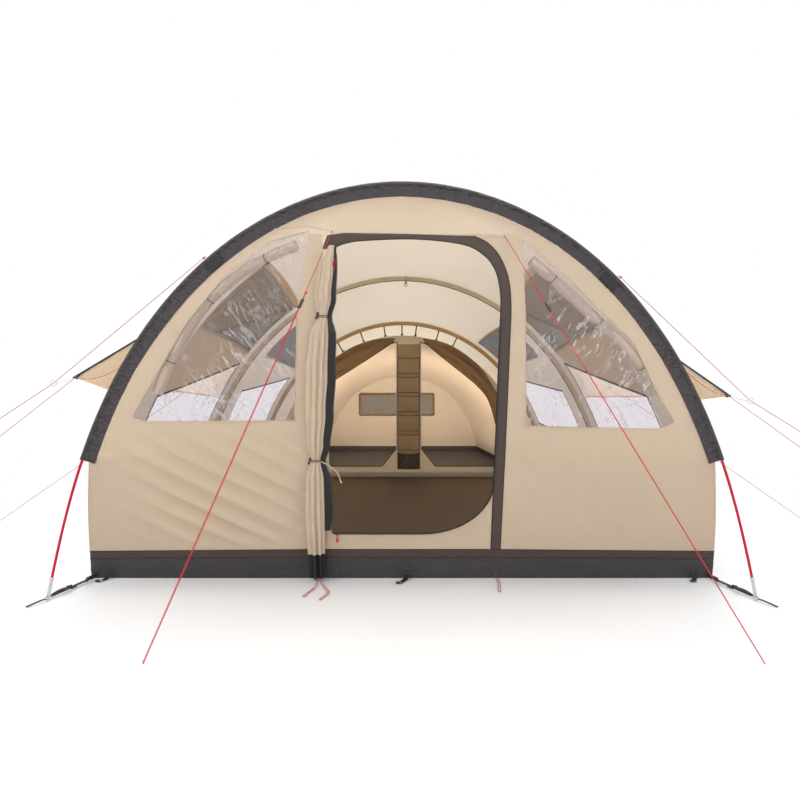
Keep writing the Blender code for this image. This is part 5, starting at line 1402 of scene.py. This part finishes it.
HOOD_NEAR, HOOD_FAR = ((0.40, 0.92), (0.35, 1.715)), ((1.45, 1.615), (1.40, 0.92))
for index, (side_name, side) in enumerate(SIDES):
    tip = at(side * (TIP_X - 0.002), TIP_Y, TIP_Z[index])

    def root_line(first, last):
        return [wall_point(side, y, z, 0.002) for y, z in zip(*(evenly(a, b, 26) for a, b in zip(first, last)))]

    top_edge, near_edge, far_edge = root_line(HOOD_NEAR[1], HOOD_FAR[0]), root_line(*HOOD_NEAR), root_line(*HOOD_FAR)
    for part, edge, sag, down in (
        ("top", top_edge, 0.016, (0, 0, -1)), ("near", near_edge, 0.008, (0, 1, 0)), ("far", far_edge, 0.008, (0, -1, 0)),
    ):
        mesh = thickened(mesh_rows("hood", hood_patch(edge[::-side], tip, sag, Vector(down))), 0.0012)
        piece = add(f"hood_{part}_{side_name}", mesh, hood_cloth, [f"vent_hood_{side_name}"] if part == "top" else [])
        declare(piece, 1.1, 1.0)
    lining = hood_patch(top_edge[::-side], tip, 0.017, Vector((0, 0, -1)))
    lining = [[q - Vector((side * 0.004, 0, 0.006)) for q in row] for row in lining]
    piece = add(f"hood_lining_{side_name}", mesh_rows("lining", lining), hood_under)
    declare(piece, 1.1, 1.0, closed=False)
    for part, start, look in (("near", top_edge[0], (0, -1, 0.2)), ("far", top_edge[-1], (0, 1, 0.2))):
        line = [start.lerp(tip, s) - Vector((0, 0, 0.003 * 4 * s * (1 - s))) for s in evenly(0.0, 1.0, 30)]
        strip(f"hood_tape_{part}_{side_name}", line, 0.026, 0.0034, look, edge_black)
    for part, start in (("near", near_edge[0]), ("far", far_edge[-1])):
        tube(f"hood_trim_{part}_{side_name}", evenly(start, tip, 20)[:-1], 0.0038, tape_cloth, sides=1)
    out = Vector((side, 0, -0.25)).normalized()
    tab = [tip - out * 0.060, tip - out * 0.030, tip - out * 0.008]
    strip(f"hood_tab_{side_name}", tab, 0.022, 0.004, (0, -0.5, 1), webbing)
    rounded_box(f"hood_buckle_{side_name}", (0.044, 0.014, 0.040), facing(tip - out * 0.012, out), black_plastic)
    ring = at(side * RING_X, RING_Y, RING_Z[index])
    loop = ring_points(ring + Vector((0, -0.004, 0)), 0.017, (1, 0, 0), (0, 0.3, 1))
    tube(f"guy_ring_{side_name}", loop, 0.0026, steel, cyclic=True)
    link = [tip + (ring - tip) * s + Vector((0, 0, -0.006)) for s in evenly(0.01, 0.98, 8)]
    guy(f"hood_link_{side_name}", link, material=link_white)
    patch_u = arch_u(ARCHES[0], SIDE_Z[index])
    patch = [arch_point(ARCHES[0], u, -0.028) for u in evenly(patch_u - 0.015, patch_u + 0.015, 4)]
    patch = [at(side * p.x, -0.0085, p.y) for p in patch]
    strip(f"guy_patch_{side_name}", patch, 0.062, 0.0020, (0, -1, 0), webbing)
    # The short cord from the tip back to the front sleeve.
    end = arch_point(ARCHES[0], arch_u(ARCHES[0], 1.115 - 0.02 * index), LOBE + 0.001)
    start, stop = tip + Vector((0, -0.014, 0.004)), at(side * end.x, -0.004, end.y)
    points = [start.lerp(stop, t) - Vector((0, 0, 0.030 * 4 * t * (1 - t))) for t in evenly(0.0, 1.0, 12)]
    guy(f"hood_cord_{side_name}", points)

# ---------------------------------------------------------------- the front pole's feet


def webbing_buckle(name, centre, run, width, body="tent", nodes=()):
    """A ladder-lock buckle: a frame with two bars across it, and a lifted lip."""
    turned = facing(centre, run)
    wide, thick, long = width / 2 + 0.005, 0.009, 0.015
    bm = bmesh.new()
    boxes = [
        ((-wide + 0.002, 0, 0), (0.004, thick, 2 * long)), ((wide - 0.002, 0, 0), (0.004, thick, 2 * long)),
        ((0, 0.0022, -long + 0.002), (2 * wide, 0.004, 0.004)), ((0, 0.0022, 0), (2 * wide, 0.004, 0.0045)),
        ((0, 0.0030, long - 0.002), (2 * wide, 0.004, 0.005)),
    ]
    for place, size in boxes:
        matrix = turned @ Matrix.Translation(place) @ Matrix.Diagonal((*size, 1.0))
        part = bmesh.ops.create_cube(bm, size=1.0, matrix=matrix)
        edges = list({e for v in part["verts"] for e in v.link_edges})
        bmesh.ops.bevel(bm, geom=edges, offset=0.0009, segments=2, affect="EDGES")
    return add(name, mesh_of(name, bm), black_plastic, nodes, body)


for side_name, side in SIDES:
    ring_x = side * arch_point(ARCHES[0], arch_u(ARCHES[0], 0.012)).x
    low = arch_u(ARCHES[0], 0.100)
    line = [arch_point(ARCHES[0], u) for u in evenly(low, 1.0, 8)]
    line = [at(side * p.x, 0, max(p.y, 0.0)) for p in line]
    tube(f"ferrule_{side_name}", line, 0.0078, steel, sides=4)
    collar = arch_u(ARCHES[0], 0.108)
    p, q = arch_point(ARCHES[0], collar), arch_point(ARCHES[0], low)
    turned = facing(at(side * p.x, 0, p.y), at(side * q.x, 0, q.y) - at(side * p.x, 0, p.y))
    collar = [(0.0070, -0.004), (0.0098, -0.002), (0.0098, 0.004), (0.0080, 0.007)]
    lathe(f"ferrule_collar_{side_name}", collar, turned, steel)
    ring = ring_points(at(ring_x, 0, 0.012), 0.015, (1, 0, 0), (0, 1, 0))
    tube(f"foot_ring_{side_name}", ring, 0.0022, steel, cyclic=True)
    corner_y = edge_y(0.013) - 0.0004
    corner_x = side * (canopy_half(corner_y, 0.012) - 0.025)
    start, end = at(ring_x, 0.0128, 0.012), at(corner_x, corner_y, 0.012)
    run = end - start
    line, node = evenly(start, end, 16), f"strap_buckle_{side_name}"
    strip(f"foot_strap_{side_name}", line, 0.025, 0.0020, (0, 0, 1), webbing, [f"tensioner_strap_{side_name}"])
    upper = [start + run * (0.06 + 0.36 * t) for t in evenly(0.0, 1.0, 10)]
    upper = [p + Vector((0, 0, 0.0035 + 0.007 * math.sin(math.pi * i / 10))) for i, p in enumerate(upper)]
    strip(f"foot_strap_upper_{side_name}", upper, 0.022, 0.0018, (0, 0, 1), webbing)
    webbing_buckle(f"foot_buckle_{side_name}", start + run * 0.45 + Vector((0, 0, 0.001)), run, 0.025, node, [node])
    webbing_buckle(f"corner_buckle_{side_name}", start + run * 0.91 + Vector((0, 0, 0.004)), run, 0.022)
    for number, (share, aside, along) in enumerate(((0.42, -0.020, -0.040), (0.86, -0.024, -0.050))):
        root = start + run * share + Vector((0, 0, 0.006))
        beside = run.cross(Vector((0, 0, 1))).normalized() * side * aside
        unit = run.normalized()
        spare = [root] + [
            root + beside * out + unit * along * back + Vector((0, 0, lift))
            for out, back, lift in ((0.5, 0.4, 0.012), (1.2, 1.0, 0.004), (2.0, 1.5, 0.010))
        ]
        strip(f"foot_strap_tail_{side_name}_{number}", smooth_line(spare, 6), 0.018, 0.0018, (0, 0, 1), webbing)
    out = Vector((side * 0.55, -0.85, 0)).normalized()
    tail = [at(ring_x, -0.013, z) + out * far for z, far in ((0.012, 0.0), (0.012, 0.02), (0.009, 0.05), (0.004, 0.085))]
    strip(f"peg_loop_{side_name}", smooth_line(tail, 5), 0.016, 0.0024, (0, 0, 1), webbing)

# ---------------------------------------------------------------- zip slider and lamp hook

slider_x = DOOR_LEFT + 0.03
zip_y = front_y(slider_x, DOOR_SILL_Z) + CLOTH / 2
lean = Matrix.Rotation(math.atan2(front_y(0, 0.0) - front_y(0, 1.0), 1.0), 4, "X")
zip_top = Matrix.Translation(at(slider_x, zip_y, DOOR_SILL_Z)) @ lean
slider = zip_top @ Matrix.Translation((0, 0, -0.002))
rounded_box("slider_body", (0.016, 0.0105, 0.014), slider, black_plastic, ["zip_slider"], "zip_slider")
loop = [zip_top @ Vector(p) for p in (
    (0.0, -0.006, 0.003), (-0.004, -0.010, -0.006), (-0.005, -0.009, -0.022), (-0.003, -0.008, -0.044),
    (0.003, -0.008, -0.044), (0.005, -0.009, -0.022), (0.004, -0.010, -0.006),
)]
tube("slider_pull", smooth_line(loop + loop[:1], 6)[:-1], 0.0017, cord_red, body="zip_slider", cyclic=True)
grip = zip_top @ Matrix.Translation((0, -0.008, -0.038))
rounded_box("slider_grip", (0.010, 0.005, 0.020), grip, red_plastic, body="zip_slider", bevel=0.35)
top_pull = at(-0.315, front_y(-0.315, 1.62) - 0.014, 1.625)
rounded_box("upper_slider", (0.012, 0.009, 0.016), Matrix.Translation(top_pull), black_plastic)
loop = [top_pull + Vector(p) for p in (
    (0, -0.005, 0.004), (-0.004, -0.009, -0.008), (-0.004, -0.010, -0.030), (0.0, -0.010, -0.046),
    (0.004, -0.010, -0.030), (0.004, -0.009, -0.008),
)]
tube("upper_pull", smooth_line(loop + loop[:1], 6)[:-1], 0.0017, cord_red, cyclic=True)

HOOK_X = 0.03
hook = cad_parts["lamp_hook"]
hook.data.materials.clear()
hook.data.materials.append(black_plastic)
hook_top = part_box("lamp_hook")[1][2]
tab = [at(HOOK_X, ARCHES[1][0] - y, hook_top + z) for y, z in ((0.0060, 0.050), (0.0052, 0.016), (0.0046, GAP))]
strip("hook_tab_front", smooth_line(tab, 4), 0.024, 0.0016, (0, -1, 0), canopy_cloth)

# ---------------------------------------------------------------- inner tent


INNER_LOW = INNER_TRAY + GAP
INNER_CLOTH = 0.0009
rows = []
for y in evenly(INNER_FRONT_Y, INNER_REAR_Y, 48):
    end = canopy_u(y, INNER_LOW, -INNER_DROP)
    hang = 0.010 * ease(min(y - INNER_FRONT_Y, INNER_REAR_Y - y) / 0.3)
    row = []
    for i in range(-64, 65):
        u = end * i / 64
        fold = hang * (0.9 * rough(u * 6, y * 1.3, 0, 91) + 0.4 * rough(u * 15, y * 2.6, 0, 92))
        p = canopy_point(u, y, -INNER_DROP + fold * ease((1 - abs(i) / 64) / 0.05))
        row.append(at(p.x, y, p.y))
    rows.append(row)
piece = add("inner_roof_cloth", thickened(mesh_rows("inner", rows), INNER_CLOTH), inner_cloth, ["inner_canopy"])
declare(piece, 3.9, 2.0)


def inner_outline(y, steps):
    """The inner tent's roof line at a depth, in X and Z."""
    end = canopy_u(y, INNER_LOW, -INNER_DROP)
    return [tuple(canopy_point(end * i / steps, y, -INNER_DROP)) for i in range(-steps, steps + 1)]


NET_X, NET_Z = (-0.60, 0.45), (0.50, 0.80)
MESH_WINDOW = [(NET_X[0], NET_Z[0]), (NET_X[1], NET_Z[0]), (NET_X[1], NET_Z[1]), (NET_X[0], NET_Z[1])]


def inner_rear_depth(x, z):
    return INNER_REAR_Y - 0.004 + 0.006 * rough(x * 3, z * 3, 0, 93) * ease(min(z - 0.1, 1.0 - z) / 0.1)


grid = wall_grid(evenly(-1.25, 1.25, 60), evenly(0.04, 1.14, 30), inner_rear_depth)
cuts = cut_out(inner_outline(INNER_REAR_Y, 24), 4.0, 6.0, [MESH_WINDOW])
piece = add("inner_rear_cloth", thickened(mesh_rows("back", grid), INNER_CLOTH, cuts), inner_cloth)
declare(piece, 2.1, 1.0)
net = wall_grid(evenly(*NET_X, 24), evenly(*NET_Z, 10), lambda x, z: INNER_REAR_Y - 0.006)
piece = add("inner_net", mesh_rows("net", net), window_net, ["inner_mesh_window"])
declare(piece, 1.05, 0.30, closed=False)
for k, (a, b) in enumerate(zip(MESH_WINDOW, MESH_WINDOW[1:] + MESH_WINDOW[:1])):
    line = evenly(at(a[0], INNER_REAR_Y - 0.010, a[1]), at(b[0], INNER_REAR_Y - 0.010, b[1]), 10)
    strip(f"inner_net_frame_{k}", line, 0.026, 0.0020, (0, -1, 0), brown_cloth)
line = [at(x, INNER_REAR_Y - 0.012, NET_Z[1]) for x in evenly(*NET_X, 10)]
strip("inner_net_roll", line, 0.034, 0.010, (0, -1, 0), brown_cloth, wave=0.004)

feet = evenly(INNER_FRONT_Y, INNER_REAR_Y, 12)


def inner_ring(z, inside):
    right = []
    for i, y in enumerate(feet):
        yy = y + inside if i == 0 else (y - inside if i == 12 else y)
        right.append((canopy_half(y, z, -INNER_DROP) - inside, yy))
    front = [(-right[0][0] + 2 * right[0][0] * k / 12, right[0][1]) for k in range(1, 12)]
    back = [(right[-1][0] - 2 * right[-1][0] * k / 12, right[-1][1]) for k in range(1, 12)]
    ring = [(-right[0][0], right[0][1])] + front + right + back + [(-x, y) for x, y in reversed(right[1:])]
    return [at(x, y, z) for x, y in ring]


TRAY_LOW, TRAY_CLOTH = 0.0075, 0.0016
tray_rows = [inner_ring(z, 0) for z in (0.0035, 0.03, INNER_TRAY)]
tray_rows += [inner_ring(z, TRAY_CLOTH) for z in (INNER_TRAY, 0.03, TRAY_LOW)]
edge = tray_rows[-1]
middle = at(0, 4.0, TRAY_LOW)
for s in (0.97, 0.9, 0.8, 0.7, 0.6, 0.5, 0.4, 0.3, 0.2, 0.1):
    row = [middle.lerp(p, s) for p in edge]
    tray_rows.append([q + Vector((0, 0, 0.004 * abs(rough(q.x * 5, q.y * 5, 0, 94)))) for q in row])
piece = add("inner_tray", mesh_rows("tray", tray_rows, closed=True, caps=True), ground_cloth, ["inner_floor"])
declare(piece, 2.75, 2.1)


def doorway(side):
    edge = COLUMN_X[1] if side > 0 else COLUMN_X[0]
    points = []
    for i in range(17):
        p = canopy_point(0.20 + 0.66 * i / 16, INNER_FRONT_Y, -INNER_DROP - 0.06)
        if p.x > abs(edge) + 0.02:
            points.append((side * p.x, p.y))
    top = canopy_point(0.0, INNER_FRONT_Y, -INNER_DROP - 0.06).y - 0.01
    low = [(side * (points[-1][0] * side - 0.05), 0.12), (edge + side * 0.16, 0.12)]
    return [(edge, top)] + points + low + [(edge, 0.32)]


def inner_front_depth(x, z):
    return INNER_FRONT_Y - 0.0035 + 0.003 * rough(x * 5, z * 4, 0, 95)


front_outline = inner_outline(INNER_FRONT_Y, 32)
front_outline = [(front_outline[0][0], 0.010)] + front_outline + [(front_outline[-1][0], 0.010)]
grid = wall_grid(evenly(-1.45, 1.45, 90), evenly(0.0, 1.54, 44), inner_front_depth)
cuts = cut_out(front_outline, 2.8, 3.3, [doorway(-1), doorway(1)])
piece = add("inner_front_cloth", thickened(mesh_rows("front", grid), INNER_CLOTH, cuts), inner_cloth, ["inner_front_wall"])
for side_name, side in SIDES:
    line = [at(x, INNER_FRONT_Y - 0.0045, z) for x, z in doorway(side)]
    tube(f"inner_door_zip_{side_name}", resample(line + line[:1], 0.03)[:-1], 0.0045, edge_black, cyclic=True, sides=1)

# Each tied door's upper and lower edge, in X and Z.
FLAPS = {
    "left": (
        [(-0.07, 1.465), (-0.30, 1.445), (-0.52, 1.37), (-0.70, 1.25), (-0.77, 1.14)],
        [(-0.09, 1.42), (-0.36, 1.24), (-0.66, 1.05), (-0.72, 1.02), (-0.76, 1.05)],
    ),
    "right": (
        [(0.215, 1.465), (0.40, 1.43), (0.58, 1.35), (0.78, 1.20), (0.92, 1.02), (1.02, 0.82), (1.06, 0.60), (1.08, 0.28)],
        [(0.235, 1.42), (0.38, 1.295), (0.53, 1.175), (0.68, 1.055), (0.79, 0.96), (0.90, 0.82), (0.975, 0.58), (1.03, 0.28)],
    ),
}
for side_name, edges in FLAPS.items():
    a, b = (resample(line, line_length(line) / 60) for line in (flat_line(edge, 10) for edge in edges))
    rows = []
    for k in range(min(len(a), len(b))):
        row = []
        for t in evenly(0.0, 1.0, 39):
            p = a[k].lerp(b[k], t)
            fold = 0.0075 * math.sin(t * math.pi * 4 + 2.2 * rough(k * 0.06, t * 0.8, 0, 96))
            fold += 0.003 * rough(k * 0.22, t * 5, 0, 98)
            row.append(at(p.x, INNER_FRONT_Y - 0.0135 - fold, p.y))
        rows.append(row)
    piece = add(f"tied_inner_door_{side_name}", mesh_rows("flap", rows), brown_cloth, [f"inner_door_{side_name}"])
    declare(piece, 0.6, 1.3, closed=False)
    edge = [at(p.x, INNER_FRONT_Y - 0.022, p.y) for p in b]
    tube(f"inner_door_edge_{side_name}", edge, 0.0040, edge_black, sides=1)

# The organiser between the two inner doors: a brown backing with open pockets bound in black.
x0, x1 = COLUMN_X[0] + 0.006, COLUMN_X[1] - 0.006
back = INNER_FRONT_Y - 0.0065
rows = wall_grid(evenly(x0, x1, 20), evenly(COLUMN_LOW, COLUMN_TOP, 50), lambda x, z: back - 0.001)
piece = add("organiser_backing", thickened(mesh_rows("backing", rows), 0.0012), organiser_cloth, ["organiser"])
declare(piece, 0.23, 1.31)
step = (1.29 - COLUMN_LOW) / POCKETS
for k in range(POCKETS):
    rows = []
    for t in evenly(0.0, 1.0, 12):
        z = COLUMN_LOW + 0.005 + step * k + step * 0.82 * t
        full = 0.006 + 0.018 * math.sin(math.pi * min(t * 0.62 + 0.12, 1))
        row = []
        for s in evenly(0.0, 1.0, 24):
            bow = 4 * s * (1 - s)
            belly = bow ** 0.6 * full + 0.003 * rough(s * 5, k * 3 + t * 2, 0, 97) * bow
            row.append(at(x0 + (x1 - x0) * s, back - 0.003 - belly, z - 0.010 * bow * t))
        rows.append(row)
    pocket, material = thickened(mesh_rows("pocket", rows), 0.0010), organiser_cloth if k else window_net
    piece = add(f"organiser_pocket_{k}", pocket, material)
    declare(piece, 0.24, 0.17)
    tube(f"pocket_binding_{k}", rows[-1], 0.0034, edge_black, sides=1)
    seam = [rows[0][0], rows[0][12] + Vector((0, 0.004, 0)), rows[0][-1]]
    strip(f"pocket_seam_{k}", seam, 0.010, 0.0020, (0, -1, 0), edge_black)

for name, x, inward in (("left", x0 - 0.007, 0.006), ("right", x1 + 0.007, -0.006)):
    line = [at(x, back - 0.003, z) for z in evenly(COLUMN_LOW, COLUMN_TOP, 20)]
    strip(f"organiser_edge_{name}", line, 0.022, 0.0020, (0, -1, 0), inner_cloth)
    cord = [p + Vector((inward, -0.003, 0)) for p in line]
    tube(f"organiser_cord_{name}", cord, 0.0024, edge_black, sides=1)

# Elastic straps and toggles that hang the inner tent from the third arch.
SMALL_TOGGLE = [(0.003, -0.016), (0.006, -0.013), (0.0045, 0), (0.006, 0.013), (0.003, 0.016)]
for number, x in enumerate((-0.40, -0.17, 0.0, 0.14, 0.36, 0.53, -0.62)):
    places = [v / 200 for v in range(150)]
    best = min(places, key=lambda u: abs(canopy_point(u, INNER_FRONT_Y, -INNER_DROP).x - abs(x)))
    p = canopy_point(best, INNER_FRONT_Y, -INNER_DROP)
    q = arch_point(ARCHES[2], best, -SLEEVE_ROOT)
    side = -1 if x < 0 else 1
    start, stop = at(side * q.x, ARCHES[2][0] + 0.006, q.y), at(side * p.x, INNER_FRONT_Y - 0.003, p.y)
    strip(f"inner_elastic_{number}", evenly(start, stop, 6), 0.012, 0.0018, (0, -1, 0.2), edge_black)
    turned = facing(stop + Vector((0, -0.006, 0.010)), (0.9, 0.1, 0.3))
    lathe(f"inner_toggle_{number}", SMALL_TOGGLE, turned, black_plastic, sides=12)

# Ochre tape along the third arch, seen from the front.
line = arch_line(ARCHES[2], arch_u(ARCHES[2], 0.30), 120, -0.044, -0.0060)
strip("third_arch_tape", line, 0.034, 0.0012, (0, -1, 0), tape_cloth)

# ---------------------------------------------------------------- the floor

bm = bmesh.new()
bmesh.ops.create_grid(bm, x_segments=8, y_segments=8, size=60.0)
ground = linked("floor", mesh_of("floor", bm))
ground.location.z = -0.002
ground.data.materials.append(floor_nodes.material)
